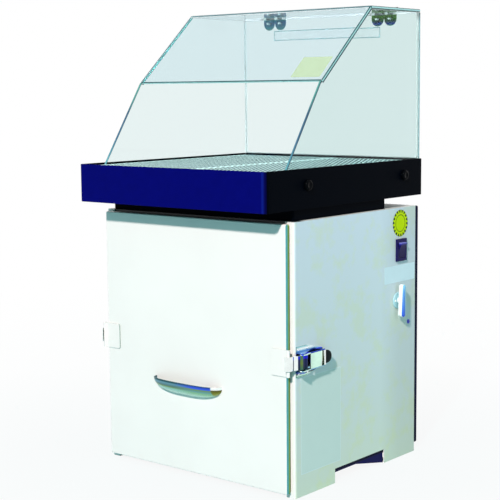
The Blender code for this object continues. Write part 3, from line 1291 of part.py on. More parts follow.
def build_cabinet(white, black, dark, steel, paper, grey):
    add_piece("side_panel_right", side_panel(True), white)
    add_piece("side_panel_left", mirrored(side_panel(False)), white)
    add_piece("base_pan", base_pan(), dark)
    add_piece("top_plate", top_plate(), white)
    add_piece("rear_cover", rear_cover(), dark)
    add_piece("exhaust_louvre", exhaust_louvre(), dark)
    add_piece("partition", partition(), white)
    add_piece("fan_shelf", fan_shelf(), steel)
    add_piece("inlet_ring", inlet_ring(), steel)
    add_piece("filter_frame", filter_frame(), steel)
    add_piece("filter_pleats", filter_pleats(), paper)
    add_piece("motor", motor(), grey)
    add_piece("motor_stand", motor_stand(), steel)
    add_piece("neck_duct", neck_duct(), black)


def build_tray(navy, black, steel):
    add_piece("tray_fascia", tray_fascia(), navy)
    both_sides("tray_rail", tray_rail_side, black)
    add_piece("tray_rail_rear", tray_rail_rear(), black)
    add_piece("tray_floor", tray_floor(), black)
    add_piece("ledge_front", ledge_front(), steel)
    add_piece("ledge_rear", ledge_rear(), steel)
    add_piece("split_bar", split_bar(), steel)


def build_panels(steel):
    half = HOOD_INNER - PANEL_SIDE_GAP
    sides = {"left": (-half, PANEL_SPLIT - PANEL_GAP / 2), "right": (PANEL_SPLIT + PANEL_GAP / 2, half)}
    for side, (left, right) in sides.items():
        carrier = pivot(f"panel_{side}_lift", ((left + right) / 2, (FRONT + TRAY_REAR) / 2, PANEL_TOP))
        add_piece(f"perforated_panel_{side}", perforated_panel(left, right), steel, carrier)


def build_hood(clear, black, chrome):
    both_sides("hood_side", hood_side, clear)
    add_piece("hood_rear", hood_rear(), clear)
    for place, y in KNOB_PLACES.items():
        both_sides(f"hood_knob_{place}", lambda at=y: knob(at), black)
    lid = pivot("lid_axis", (0, HINGE_Y, HINGE_Z))
    add_piece("lid_top", lid_top(), clear, lid)
    add_piece("lid_shield", lid_shield(), clear, lid)
    hinge_x = TRAY_WIDTH / 2 - HINGE_END_INSET
    for side, x in (("right", hinge_x), ("left", -hinge_x)):
        add_piece(f"hinge_fixed_leaf_{side}", fixed_leaf(x), chrome)
        add_piece(f"hinge_pin_{side}", hinge_pin(x), chrome)
        add_piece(f"hinge_moving_leaf_{side}", moving_leaf(x), chrome, lid)


def build_door(white, rubber, chrome, steel):
    door = pivot("door_draw", (0, DOOR_FRONT, (DOOR_BOTTOM + DOOR_TOP) / 2))
    add_piece("door_panel", door_panel(), white, door)
    add_piece("door_gasket", door_gasket(), rubber, door)
    add_piece("door_handle", door_handle(), chrome, door)
    add_piece("dust_pan", dust_pan(), steel, door)
    both_sides("keeper", keeper, chrome, (door, door))


def build_latches(chrome, rubber):
    both_sides("latch_base", latch_base, chrome)
    levers = [pivot(f"lever_axis_{side}", (sign * LATCH_X, LATCH_Y, LATCH_HEIGHT))
              for side, sign in (("right", 1), ("left", -1))]
    hooks = [pivot(f"hook_axis_{side}", (sign * CRANK_X, CRANK_Y, LATCH_HEIGHT))
             for side, sign in (("right", 1), ("left", -1))]
    both_sides("latch_lever", latch_lever, chrome, levers)
    both_sides("lever_grip", lever_grip, rubber, levers)
    both_sides("latch_hook", latch_hook, chrome, hooks)


def build_controls(dark, white, steel):
    add_piece("switch_body", switch_body(), dark)
    add_piece("switch_rocker", rocker(), dark, pivot("rocker_axis", (ROCKER_X, SWITCH_Y, SWITCH_HEIGHT)))
    add_piece("shaker_plate", shaker_plate(), steel)
    shaker = pivot("shaker_axis", (CABINET_SIDE, SHAKER_Y, SHAKER_HEIGHT))
    add_piece("shaker_handle", shaker_handle(), white, shaker)
    add_piece("knocker_arm", knocker_arm(), steel, shaker)


def build_fan(steel):
    fan = pivot("fan_axis", (0, FAN_Y, FAN_BOTTOM))
    add_piece("impeller", impeller(), steel, fan)
    add_piece("motor_shaft", motor_shaft(), steel, fan)


def main():
    clear_scene()
    white = finish("white_paint", (0.90, 0.93, 0.90), 0.35)
    black = finish("black_paint", (0.015, 0.02, 0.03), 0.4)
    navy = finish("navy_paint", (0.004, 0.006, 0.20), 0.3)
    dark = finish("dark_plastic", (0.02, 0.02, 0.06), 0.45)
    chrome = finish("chrome_plate", (0.80, 0.82, 0.83), 0.12, 1.0)
    steel = finish("bright_steel", (0.62, 0.66, 0.66), 0.35, 1.0)
    clear = finish("clear_acrylic", (0.80, 0.92, 0.90), 0.05, 0.0, 0.3)
    rubber = finish("black_rubber", (0.02, 0.02, 0.02), 0.7)
    paper = finish("filter_cloth", (0.82, 0.80, 0.72), 0.9)
    grey = finish("motor_grey", (0.25, 0.27, 0.30), 0.5, 0.3)
    build_cabinet(white, black, dark, steel, paper, grey)
    build_tray(navy, black, steel)
    build_panels(steel)
    build_hood(clear, black, chrome)
    build_door(white, rubber, chrome, steel)
    build_latches(chrome, rubber)
    build_controls(dark, white, steel)
    build_fan(steel)


main()
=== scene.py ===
"""Looks of the downdraft work table: white cabinet, clear hood, perforated tray, draw latches and controls."""

import math

import bmesh
import bpy
from mathutils import Matrix, Vector


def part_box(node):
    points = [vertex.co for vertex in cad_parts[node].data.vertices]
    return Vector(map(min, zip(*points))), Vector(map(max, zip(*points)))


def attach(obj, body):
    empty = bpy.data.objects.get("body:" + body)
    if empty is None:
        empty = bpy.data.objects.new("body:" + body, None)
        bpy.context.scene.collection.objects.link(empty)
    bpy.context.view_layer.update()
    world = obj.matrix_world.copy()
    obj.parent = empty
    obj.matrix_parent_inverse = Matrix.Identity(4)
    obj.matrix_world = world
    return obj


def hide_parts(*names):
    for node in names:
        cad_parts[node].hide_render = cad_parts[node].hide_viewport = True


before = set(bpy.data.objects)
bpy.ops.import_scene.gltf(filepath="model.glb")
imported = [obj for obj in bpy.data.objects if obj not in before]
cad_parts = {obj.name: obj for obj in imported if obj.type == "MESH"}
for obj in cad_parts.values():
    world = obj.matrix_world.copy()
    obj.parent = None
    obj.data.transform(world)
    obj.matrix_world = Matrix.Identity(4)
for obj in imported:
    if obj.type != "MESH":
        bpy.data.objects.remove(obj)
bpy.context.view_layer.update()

# How near points are merged, in metres, and the angles between faces that count as flat, creased and smooth
MERGE = 0.00002
FLAT_ANGLE = math.radians(1)
CREASE_ANGLE = math.radians(28)
SMOOTH_ANGLE = math.radians(40)

# Widths of the softened edges, in metres
CUT_EDGE = 0.0005
FINE_EDGE = 0.0003
PRESSED_EDGE = 0.0004
MOULDED_EDGE = 0.0006

SIDES = (("right", 1), ("left", -1))


def cad_face(side):
    """The outer face of a cabinet side."""
    low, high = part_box(f"side_panel_{side}")
    return high.x if side == "right" else low.x


# Building in the mesh
def new_shape():
    return bmesh.new()


def move(shape, offset, verts=None):
    bmesh.ops.translate(shape, vec=Vector(offset), verts=verts or shape.verts[:])
    return shape


def turn(shape, angle, axis, centre=(0, 0, 0)):
    bmesh.ops.rotate(shape, cent=centre, matrix=Matrix.Rotation(angle, 3, axis), verts=shape.verts[:])


def joined(shapes):
    """Several closed shapes as one."""
    whole = new_shape()
    for shape in shapes:
        mesh = bpy.data.meshes.new("part")
        shape.to_mesh(mesh)
        shape.free()
        whole.from_mesh(mesh)
        bpy.data.meshes.remove(mesh)
    return whole


def copy_of(node):
    """A CAD node's mesh as merged faces with its flat areas whole."""
    shape = new_shape()
    shape.from_mesh(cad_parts[node].data)
    bmesh.ops.remove_doubles(shape, verts=shape.verts[:], dist=MERGE)
    bmesh.ops.dissolve_limit(shape, angle_limit=FLAT_ANGLE, verts=shape.verts[:], edges=shape.edges[:],
                             use_dissolve_boundaries=False)
    return shape


def creases(shape, angle=CREASE_ANGLE):
    return [e for e in shape.edges if len(e.link_faces) == 2 and e.calc_face_angle(0) > angle]


def soften(shape, width, segments=2, edges=None):
    """Rounds the sharp edges of a shape."""
    edges = creases(shape) if edges is None else edges
    bmesh.ops.bevel(shape, geom=edges, offset=width, offset_type="OFFSET", segments=segments, profile=0.5,
                    affect="EDGES", clamp_overlap=True, material=-1)
    return shape


def edges_along(shape, direction):
    """The straight edges that run in one direction."""
    axis = Vector(direction).normalized()
    found = []
    for edge in shape.edges:
        run = edge.verts[1].co - edge.verts[0].co
        if run.length > 0 and abs(run.normalized().dot(axis)) > 0.999:
            found.append(edge)
    return found


def cut_across(shape, axis, places):
    """Cuts every face that crosses a place along an axis."""
    normal = Vector((0, 0, 0))
    normal[axis] = 1
    for place in places:
        parts = shape.verts[:] + shape.edges[:] + shape.faces[:]
        bmesh.ops.bisect_plane(shape, geom=parts, plane_co=normal * place, plane_no=normal)


def thicken(shape, offset):
    """Gives a flat shape a thickness and closes it."""
    made = bmesh.ops.extrude_face_region(shape, geom=shape.faces[:])
    move(shape, offset, [item for item in made["geom"] if isinstance(item, bmesh.types.BMVert)])
    bmesh.ops.recalc_face_normals(shape, faces=shape.faces[:])
    return shape


def slab(corners, thickness):
    """A flat outline given a thickness."""
    shape = new_shape()
    shape.faces.new([shape.verts.new(p) for p in corners])
    return thicken(shape, thickness)


def box(low, high):
    shape = new_shape()
    bmesh.ops.create_cube(shape, size=1)
    low, high = Vector(low), Vector(high)
    bmesh.ops.scale(shape, vec=high - low, verts=shape.verts[:])
    return move(shape, (low + high) / 2)


def turned(profile, centre, direction, steps=40):
    """A profile of (radius, height) spun round an axis; it starts and ends on the axis, or closes on itself."""
    shape = new_shape()
    verts = [shape.verts.new((r, 0, z)) for r, z in profile]
    edges = [shape.edges.new((a, b)) for a, b in zip(verts, verts[1:])]
    if profile[0][0] > 0:
        edges.append(shape.edges.new((verts[-1], verts[0])))
    bmesh.ops.spin(shape, geom=verts + edges, axis=(0, 0, 1), cent=(0, 0, 0), angle=2 * math.pi, steps=steps,
                   use_merge=True)
    bmesh.ops.remove_doubles(shape, verts=shape.verts[:], dist=MERGE)
    bmesh.ops.recalc_face_normals(shape, faces=shape.faces[:])
    toward = Vector((0, 0, 1)).rotation_difference(Vector(direction)).to_matrix()
    bmesh.ops.rotate(shape, cent=(0, 0, 0), matrix=toward, verts=shape.verts[:])
    return move(shape, centre)


def dome(centre, direction, radius, height, steps=20):
    """A low domed screw or rivet head with a small socket."""
    profile = [(0, 0), (radius, 0), (radius, height * 0.25), (radius * 0.93, height * 0.55),
               (radius * 0.72, height * 0.85), (radius * 0.45, height), (radius * 0.40, height),
               (radius * 0.36, height * 0.6), (0, height * 0.55)]
    return turned(profile, centre, direction, steps)


def sort_faces(shape, choose):
    """Gives each face the number of its finish."""
    shape.normal_update()
    for face in shape.faces:
        face.material_index = choose(face)


def finish_piece(shape, name, body, finishes, replaced=(), smooth=SMOOTH_ANGLE, flats=False):
    """Makes a shape an object in its place that rides on a body.

    A piece with flats keeps its broad flat faces level in the light.
    """
    mesh = bpy.data.meshes.new(name)
    shape.to_mesh(mesh)
    shape.free()
    mesh.shade_smooth()
    mesh.set_sharp_from_angle(angle=smooth)
    for finish in finishes if isinstance(finishes, (list, tuple)) else [finishes]:
        mesh.materials.append(finish)
    piece = bpy.data.objects.new(name, mesh)
    bpy.context.scene.collection.objects.link(piece)
    if flats:
        piece.modifiers.new("level_flats", "WEIGHTED_NORMAL").keep_sharp = True
    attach(piece, body)
    if replaced:
        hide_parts(*replaced)


# Finishes
SOCKETS = {"metal": "Metallic", "roughness": "Roughness", "gloss": "Specular IOR Level", "index": "IOR",
           "clear": "Transmission Weight", "cover": "Alpha"}


class Mixer:
    """Lays out the nodes of one finish."""

    def __init__(self, name):
        self.material = bpy.data.materials.new(name)
        self.material.use_nodes = True
        self.tree = self.material.node_tree
        self.shader = self.tree.nodes["Principled BSDF"]
        self.output = self.tree.nodes["Material Output"]
        self.place = self.tree.nodes.new("ShaderNodeTexCoord").outputs["Object"]

    def node(self, kind, **values):
        made = self.tree.nodes.new(kind)
        for key, value in values.items():
            if key in made.inputs:
                made.inputs[key].default_value = value
            else:
                setattr(made, key, value)
        return made

    def link(self, source, target):
        self.tree.links.new(source, target)

    def colour(self, source):
        self.link(source, self.shader.inputs["Base Color"])

    def roughness(self, source):
        self.link(source, self.shader.inputs["Roughness"])

    def level(self, **levels):
        for socket, value in levels.items():
            self.shader.inputs[SOCKETS[socket]].default_value = value

    def noise(self, scale, detail=2.0, roughness=0.5, stretch=None):
        source = self.place
        if stretch:
            mapping = self.node("ShaderNodeMapping")
            mapping.inputs["Scale"].default_value = stretch
            self.link(self.place, mapping.inputs["Vector"])
            source = mapping.outputs["Vector"]
        noise = self.node("ShaderNodeTexNoise", Scale=scale, Detail=detail, Roughness=roughness)
        self.link(source, noise.inputs["Vector"])
        return noise.outputs["Fac"]

    def ramp(self, source, stops):
        made = self.node("ShaderNodeValToRGB")
        elements = made.color_ramp.elements
        while len(elements) < len(stops):
            elements.new(0.5)
        for element, (position, colour) in zip(elements, stops):
            element.position = position
            element.color = (*colour, 1.0)
        self.link(source, made.inputs["Fac"])
        return made.outputs["Color"]

    def along(self, axis, start, end):
        """How far a point lies from start to end along an axis, 0 to 1."""
        parts = self.node("ShaderNodeSeparateXYZ")
        self.link(self.place, parts.inputs[0])
        made = self.node("ShaderNodeMapRange")
        made.inputs["From Min"].default_value = start
        made.inputs["From Max"].default_value = end
        self.link(parts.outputs["XYZ".index(axis)], made.inputs["Value"])
        return made.outputs["Result"]

    def blend(self, share, first, second):
        made = self.node("ShaderNodeMix", data_type="RGBA")
        self.link(share, made.inputs[0])
        self.link(first, made.inputs[6])
        self.link(second, made.inputs[7])
        return made.outputs[2]

    def times(self, first, second):
        made = self.node("ShaderNodeMix", data_type="RGBA", blend_type="MULTIPLY")
        made.inputs[0].default_value = 1.0
        self.link(first, made.inputs[6])
        self.link(second, made.inputs[7])
        return made.outputs[2]

    def spread(self, source, low, high):
        made = self.node("ShaderNodeMapRange")
        made.inputs["To Min"].default_value = low
        made.inputs["To Max"].default_value = high
        self.link(source, made.inputs["Value"])
        return made.outputs["Result"]

    def bump(self, source, strength, distance):
        made = self.node("ShaderNodeBump", Strength=strength, Distance=distance)
        self.link(source, made.inputs["Height"])
        self.link(made.outputs["Normal"], self.shader.inputs["Normal"])


def tone(colour, factor):
    return tuple(min(1.0, c * factor) for c in colour)


# The fineness of orange peel, and the stretch of the cabinet that the side panels' tint and painted shade run
# over
PEEL_SCALE = 420.0
CABINET_FRONT, CABINET_REAR = -0.19, 0.24
CABINET_TOP = 0.542


def enamel(name, colour, roughness=0.32, peel=0.06, drift=0.02, gloss=0.5):
    """Baked enamel on sheet steel: faint cloudiness, orange peel and a soft gloss."""
    mixer = Mixer(name)
    clouds = mixer.noise(5.0, 3.0)
    mixer.colour(mixer.ramp(clouds, [(0.3, tone(colour, 1 - drift)), (0.7, tone(colour, 1 + drift))]))
    mixer.roughness(mixer.spread(mixer.noise(38.0, 2.0), roughness - 0.05, roughness + 0.06))
    mixer.bump(mixer.noise(PEEL_SCALE, 2.0), peel, 0.0006)
    mixer.level(gloss=gloss)
    return mixer.material


def side_enamel(name, drop, depth):
    """Baked enamel, cooler than the door's white as painted shade, whose tint drifts from the top to the foot,
    with cloudy patches and painted shade that darkens it towards the rear.
    """
    mixer = Mixer(name)
    tint = mixer.ramp(mixer.along("Z", CABINET_TOP, 0.0), drop)
    patches = mixer.ramp(mixer.noise(16.0, 4.0, 0.65), [(0.48, (1.0, 1.0, 1.0)), (0.62, (1.0, 1.0, 0.84))])
    shade = mixer.ramp(mixer.along("Y", CABINET_FRONT, CABINET_REAR),
                       [(place, (level,) * 3) for place, level in depth])
    mixer.colour(mixer.times(mixer.times(tint, patches), shade))
    mixer.roughness(mixer.spread(mixer.noise(38.0, 2.0), 0.31, 0.42))
    mixer.bump(mixer.noise(PEEL_SCALE, 2.0), 0.06, 0.0006)
    mixer.level(gloss=0.4)
    return mixer.material


def banded(name, axis, start, end, stops, roughness=0.4, metal=0.0, gloss=0.5):
    """A finish whose tone runs in bands along one axis, over a faint mottle."""
    mixer = Mixer(name)
    bands = mixer.ramp(mixer.along(axis, start, end), stops)
    mottle = mixer.ramp(mixer.noise(60.0, 3.0), [(0.3, (0.9, 0.9, 0.9)), (0.7, (1.0, 1.0, 1.0))])
    mixer.colour(mixer.times(bands, mottle))
    mixer.level(metal=metal, roughness=roughness, gloss=gloss)
    return mixer.material


def pull_painted_reflections(name, low, high):
    """The pull's plating with painted reflections and shade: a dark rim, a blue and olive band under it, a pale
    green hull, and a painted highlight on the top of its right end.
    """
    mixer = Mixer(name)
    drop = mixer.along("Z", high.z, low.z)
    left = mixer.ramp(drop, [(0.0, (0.02, 0.09, 0.11)), (0.10, (0.03, 0.12, 0.14)), (0.16, (0.14, 0.34, 0.44)),
                             (0.36, (0.08, 0.20, 0.20)), (0.44, (0.16, 0.30, 0.10)), (0.55, (0.24, 0.56, 0.50)),
                             (0.9, (0.34, 0.66, 0.56))])
    right = mixer.ramp(drop, [(0.0, (0.03, 0.10, 0.16)), (0.08, (0.03, 0.08, 0.55)),
                              (0.21, (0.05, 0.14, 0.85)), (0.28, (0.18, 0.32, 0.08)),
                              (0.40, (0.12, 0.34, 0.36)), (0.56, (0.22, 0.50, 0.30)),
                              (0.9, (0.34, 0.66, 0.56))])
    end = mixer.ramp(drop, [(0.0, (0.90, 0.98, 0.96)), (0.16, (0.90, 0.98, 0.96)), (0.22, (0.10, 0.09, 0.02)),
                            (0.45, (0.20, 0.24, 0.04)), (0.9, (0.30, 0.44, 0.20))])
    body = mixer.blend(mixer.along("X", -0.030, 0.020), left, right)
    mixer.colour(mixer.blend(mixer.along("X", high.x - 0.0165, high.x - 0.0145), body, end))
    mixer.level(metal=1.0, roughness=0.22)
    return mixer.material


def printed(name, colour, gloss=0.3):
    """A printed paper or film label."""
    mixer = Mixer(name)
    mixer.colour(mixer.ramp(mixer.noise(30.0, 3.0), [(0.3, tone(colour, 0.985)), (0.7, colour)]))
    mixer.level(roughness=0.45, gloss=gloss)
    return mixer.material


def bright_metal(name, colour, roughness, grain=(1, 1, 1), scale=60.0, bump=0.02):
    """Plated or plain metal with faint polishing marks."""
    mixer = Mixer(name)
    marks = mixer.noise(scale, 4.0, 0.6, grain)
    mixer.colour(mixer.ramp(marks, [(0.25, tone(colour, 0.9)), (0.75, tone(colour, 1.05))]))
    mixer.roughness(mixer.spread(marks, roughness * 0.7, roughness * 1.4))
    mixer.bump(marks, bump, 0.0004)
    mixer.level(metal=1.0)
    return mixer.material


def moulding(name, colour, roughness=0.4, grain=900.0, bump=0.08, gloss=0.5):
    """Moulded plastic or rubber with a fine spark-eroded grain."""
    mixer = Mixer(name)
    mixer.colour(mixer.ramp(mixer.noise(12.0, 2.0), [(0.3, tone(colour, 0.94)), (0.7, tone(colour, 1.06))]))
    mixer.roughness(mixer.spread(mixer.noise(90.0), roughness - 0.05, roughness + 0.08))
    mixer.bump(mixer.noise(grain, 1.0), bump, 0.0003)
    mixer.level(gloss=gloss)
    return mixer.material


def film(name, colour, cover):
    """A see-through printed film."""
    mixer = Mixer(name)
    mixer.colour(mixer.ramp(mixer.noise(40.0, 3.0), [(0.3, tone(colour, 0.97)), (0.7, colour)]))
    mixer.level(roughness=0.5, gloss=0.0, cover=cover)
    return mixer.material


def acrylic(name, colour, roughness=0.015):
    """Clear sheet that lets lamp light through, with faint wipe marks in its gloss."""
    mixer = Mixer(name)
    mixer.shader.inputs["Base Color"].default_value = (*colour, 1.0)
    mixer.level(clear=1.0, index=1.18)
    mixer.roughness(mixer.spread(mixer.noise(14.0, 3.0), roughness, roughness * 3))
    clear = mixer.node("ShaderNodeBsdfTransparent")
    clear.inputs["Color"].default_value = (*tone(colour, 1.04), 1.0)
    path = mixer.node("ShaderNodeLightPath")
    mix = mixer.node("ShaderNodeMixShader")
    mixer.link(path.outputs["Is Shadow Ray"], mix.inputs["Fac"])
    mixer.link(mixer.shader.outputs["BSDF"], mix.inputs[1])
    mixer.link(clear.outputs["BSDF"], mix.inputs[2])
    mixer.link(mix.outputs["Shader"], mixer.output.inputs["Surface"])
    return mixer.material


def sawn_edge(name, light, dark):
    """The polished edge of the clear sheet, given an opaque colour that paints the light the sheet gathers in
    its own tint.
    """
    mixer = Mixer(name)
    mixer.colour(mixer.ramp(mixer.noise(30.0, 3.0), [(0.3, dark), (0.7, light)]))
    mixer.level(roughness=0.12, index=1.49)
    return mixer.material


def cloth(name, colour):
    """Pressed filter cloth with a matted fibre surface."""
    mixer = Mixer(name)
    mixer.colour(mixer.ramp(mixer.noise(160.0, 6.0, 0.7), [(0.3, tone(colour, 0.85)), (0.7, colour)]))
    mixer.level(roughness=0.95)
    mixer.bump(mixer.noise(1400.0, 4.0, 0.7), 0.4, 0.0005)
    return mixer.material


WHITE = enamel("door_white_enamel", (0.91, 0.87, 0.85), 0.34)
# White enamel, with the tray's shadow painted on as a near-black band along the front of the top plate
TOP_WHITE_PAINTED_SHADE = banded("top_white_enamel_painted_tray_shadow", "Y", -0.1904, 0.24,
                   [(0.0, (0.02, 0.03, 0.035)), (0.06, (0.02, 0.03, 0.035)), (0.09, (0.90, 0.90, 0.86)),
                    (1.0, (0.90, 0.90, 0.86))])
# The side panels' white, painted cooler than the door's as shade, drifting from top to foot and darker towards
# the rear
SIDE_WHITE_PAINTED_SHADE = side_enamel("side_white_enamel_painted_shade",
                         [(0.0, (0.80, 0.86, 0.95)), (0.35, (0.77, 0.84, 0.88)), (0.70, (0.76, 0.82, 0.80)),
                          (1.0, (0.79, 0.84, 0.70))],
                         [(0.0, 0.96), (0.40, 0.97), (0.68, 1.0), (0.84, 0.87), (1.0, 0.84)])
# Painted shade on the door's side returns: teal at the front, green to dark olive towards the seal
RETURN_PAINTED_SHADE = banded("door_return_painted_shade", "Y", -0.2052, -0.1930,
                      [(0.0, (0.10, 0.40, 0.44)), (0.45, (0.10, 0.40, 0.42)), (0.58, (0.22, 0.40, 0.08)),
                       (0.85, (0.20, 0.34, 0.05)), (1.0, (0.12, 0.10, 0.02))], gloss=0.2)
INNER_WHITE = enamel("inner_white_enamel", (0.80, 0.85, 0.84), 0.45)
BLACK = enamel("black_enamel", (0.0005, 0.0014, 0.0034), 0.45, 0.05, gloss=0.01)
# Navy enamel; towards the fascia's right end a painted highlight, then painted shade down to near black, stand
# in for a rounded corner
NAVY_PAINTED_CORNER = banded("navy_enamel_painted_corner", "X", 0.0, 0.25,
              [(0.0, (0.0012, 0.0018, 0.135)), (0.955, (0.0012, 0.0018, 0.135)), (0.965, (0.004, 0.012, 0.20)),
               (0.975, (0.003, 0.008, 0.16)), (0.985, (0.001, 0.001, 0.06)), (1.0, (0.001, 0.001, 0.02))],
              0.45, gloss=0.02)
DARK = enamel("blue_black_enamel_and_painted_shade", (0.004, 0.005, 0.028), 0.45, gloss=0.03)
# Painted shade for the dark sheets in the foot notches
NOTCH_PAINTED_SHADE = enamel("painted_shade_in_notch", (0.006, 0.006, 0.075), 0.45, gloss=0.05)
STEEL = bright_metal("bright_steel_sheet", (0.62, 0.66, 0.66), 0.32, (1, 6, 1))
PERFORATED = bright_metal("perforated_steel", (0.68, 0.98, 0.95), 0.5, (1, 5, 1))
PUNCHED = bright_metal("punched_holes_in_shade", (0.010, 0.045, 0.065), 0.5)
CHROME = bright_metal("chrome_plate", (0.72, 0.78, 0.80), 0.08, bump=0.004)
CHROME_BRIGHT = bright_metal("chrome_in_light", (0.88, 0.95, 0.93), 0.16, bump=0.004)
# Chrome in painted shade, with painted blue reflections towards its top
CHROME_DEEP = banded("chrome_in_shade", "Z", 0.257, 0.285,
                     [(0.0, (0.010, 0.035, 0.040)), (0.25, (0.020, 0.030, 0.080)),
                      (0.72, (0.020, 0.030, 0.110)), (0.80, (0.020, 0.025, 0.60)),
                      (0.95, (0.020, 0.025, 0.60)), (1.0, (0.35, 0.60, 0.75))], 0.2, 1.0)
# Chrome with the green of the seal painted on as a reflection
CHROME_PAINTED_SEAL_REFLECTION = banded("chrome_painted_seal_reflection", "Z", 0.257, 0.285,
                      [(0.0, (0.05, 0.16, 0.12)), (0.5, (0.14, 0.22, 0.06)), (0.9, (0.08, 0.20, 0.10))],
                      0.2, 1.0)
# Chrome with painted highlights and painted blue reflections in bands up its height
CHROME_PAINTED_GLINTS = banded("chrome_painted_glints", "Z", 0.241, 0.301,
                       [(0.0, (0.10, 0.35, 0.22)), (0.06, (0.55, 0.80, 0.72)), (0.11, (0.02, 0.06, 0.06)),
                        (0.17, (0.03, 0.05, 0.55)), (0.23, (0.30, 0.60, 0.75)), (0.29, (0.01, 0.03, 0.03)),
                        (0.66, (0.01, 0.03, 0.04)), (0.74, (0.03, 0.12, 0.14)), (0.79, (0.02, 0.03, 0.75)),
                        (0.85, (0.25, 0.55, 0.75)), (0.92, (0.85, 0.97, 0.97)), (1.0, (0.20, 0.55, 0.60))],
                       0.2, 1.0)
# Chrome leaves with painted reflections and shade in bands up their height
HINGE_LEAF_PAINTED_REFLECTIONS = {
    "right": banded("hinge_leaf_painted_reflections_right", "Z", 0.9235, 0.9610,
                    [(0.0, (0.12, 0.46, 0.36)), (0.12, (0.06, 0.26, 0.18)), (0.22, (0.008, 0.05, 0.34)),
                     (0.32, (0.006, 0.05, 0.14)), (0.42, (0.01, 0.10, 0.02)), (0.60, (0.05, 0.18, 0.01)),
                     (0.80, (0.12, 0.28, 0.02)), (1.0, (0.03, 0.12, 0.02))], 0.2, 1.0),
    "left": banded("hinge_leaf_painted_reflections_left", "Z", 0.9235, 0.9610,
                   [(0.0, (0.14, 0.52, 0.46)), (0.16, (0.04, 0.28, 0.30)), (0.34, (0.02, 0.22, 0.34)),
                    (0.55, (0.004, 0.12, 0.30)), (0.72, (0.02, 0.26, 0.30)), (0.88, (0.06, 0.34, 0.24)),
                    (1.0, (0.04, 0.22, 0.12))], 0.2, 1.0),
}
# Satin plate, its mint green a painted reflection
PLATE_PAINTED_REFLECTION = bright_metal("lever_plate_painted_reflection", (0.55, 0.80, 0.68), 0.38, (1, 1, 4), 90.0)
CLEAR = acrylic("clear_acrylic", (0.805, 0.895, 0.89))
CLEAR_LID = acrylic("clear_lid_acrylic", (0.82, 0.91, 0.945))
# Opaque edge colours that paint the light in the sheet's edges: pale, dark line, bright core and dark rim
EDGE_PALE = sawn_edge("acrylic_edge_pale", (0.47, 0.51, 0.51), (0.43, 0.47, 0.47))
EDGE_LINE = sawn_edge("acrylic_edge_line", (0.17, 0.29, 0.31), (0.15, 0.26, 0.28))
EDGE_CORE = sawn_edge("acrylic_edge_core", (0.60, 0.92, 0.90), (0.42, 0.74, 0.74))
EDGE_RIM = sawn_edge("acrylic_edge_rim", (0.010, 0.11, 0.13), (0.006, 0.06, 0.07))
# Painted reflections in bands up the front edges of the side sheets
EDGE_DEEP_CORE = banded("acrylic_front_edge_core", "Z", 0.642, 0.81,
                        [(0.0, (0.10, 0.38, 0.44)), (0.30, (0.03, 0.14, 0.24)), (0.62, (0.02, 0.10, 0.18)),
                         (0.78, (0.06, 0.28, 0.26)), (1.0, (0.08, 0.34, 0.30))], 0.15)
EDGE_DEEP_RIM = sawn_edge("acrylic_front_edge_rim", (0.004, 0.03, 0.07), (0.003, 0.015, 0.05))
BLACK_PLASTIC = moulding("black_plastic", (0.0010, 0.0016, 0.0024), 0.22, bump=0.03, gloss=0.02)
NAVY_PLASTIC = moulding("blue_black_plastic", (0.009, 0.006, 0.080), 0.3, bump=0.03, gloss=0.08)
# Blue-black plastic with a painted highlight in a band near the rocker's top
ROCKER_PAINTED_HIGHLIGHT = banded("rocker_plastic_painted_highlight", "Z", 0.428, 0.476,
                        [(0.0, (0.006, 0.005, 0.05)), (0.72, (0.010, 0.008, 0.10)), (0.80, (0.06, 0.06, 0.45)),
                         (0.84, (0.30, 0.32, 0.80)), (0.88, (0.02, 0.015, 0.20)), (1.0, (0.01, 0.008, 0.10))],
                        0.3, gloss=0.1)
WHITE_PLASTIC = moulding("white_plastic", (0.90, 0.94, 0.94), 0.3, bump=0.03)
# White plastic in painted blue shade, lighter towards the top
BLUE_SHADE_PLASTIC = banded("white_plastic_painted_blue_shade", "Z", 0.312, 0.379,
                            [(0.0, (0.02, 0.10, 0.75)), (0.30, (0.06, 0.22, 0.80)), (0.75, (0.12, 0.36, 0.80)),
                             (1.0, (0.25, 0.62, 0.90))])
RUBBER = moulding("grip_rubber", (0.003, 0.007, 0.008), 0.6, 700.0, 0.3, gloss=0.08)
SEAL = moulding("gasket_rubber", (0.13, 0.12, 0.03), 0.8, 500.0, 0.3, gloss=0.1)
FILTER_CLOTH = cloth("filter_cloth", (0.80, 0.78, 0.70))
MOTOR_GREY = enamel("motor_paint", (0.20, 0.22, 0.25), 0.5, 0.15)
# Painted shade for the keepers' cut edges
KEEPER_EDGE_PAINTED_SHADE = enamel("keeper_edge_painted_shade", (0.07, 0.24, 0.17), 0.4, gloss=0.1)
STICKER_GREEN = printed("sticker_green", (0.68, 0.84, 0.002), 0.05)
STICKER_RIM = printed("sticker_marks", (0.015, 0.028, 0.006), 0.05)
STICKER_RING = printed("sticker_ring", (0.07, 0.12, 0.003), 0.05)
LABEL_BLUE = printed("label_blue", (0.80, 0.93, 1.0))
LABEL_SIDE = printed("label_pale", (0.72, 0.82, 0.77))
LABEL_SIDE_RIM = printed("label_pale_rim", (0.84, 0.92, 0.92))
PLATE_TEAL = printed("shaker_plate_enamel", (0.42, 0.68, 0.74))
PLUG_BLUE = moulding("plug_blue", (0.02, 0.03, 0.62), 0.3, bump=0.02)
LABEL_YELLOW = film("label_yellow", (0.62, 0.76, 0.46), 0.5)
LABEL_FILM = film("label_film", (0.34, 0.42, 0.45), 0.12)
LABEL_TEAL = printed("label_teal", (0.03, 0.16, 0.18), 0.0)

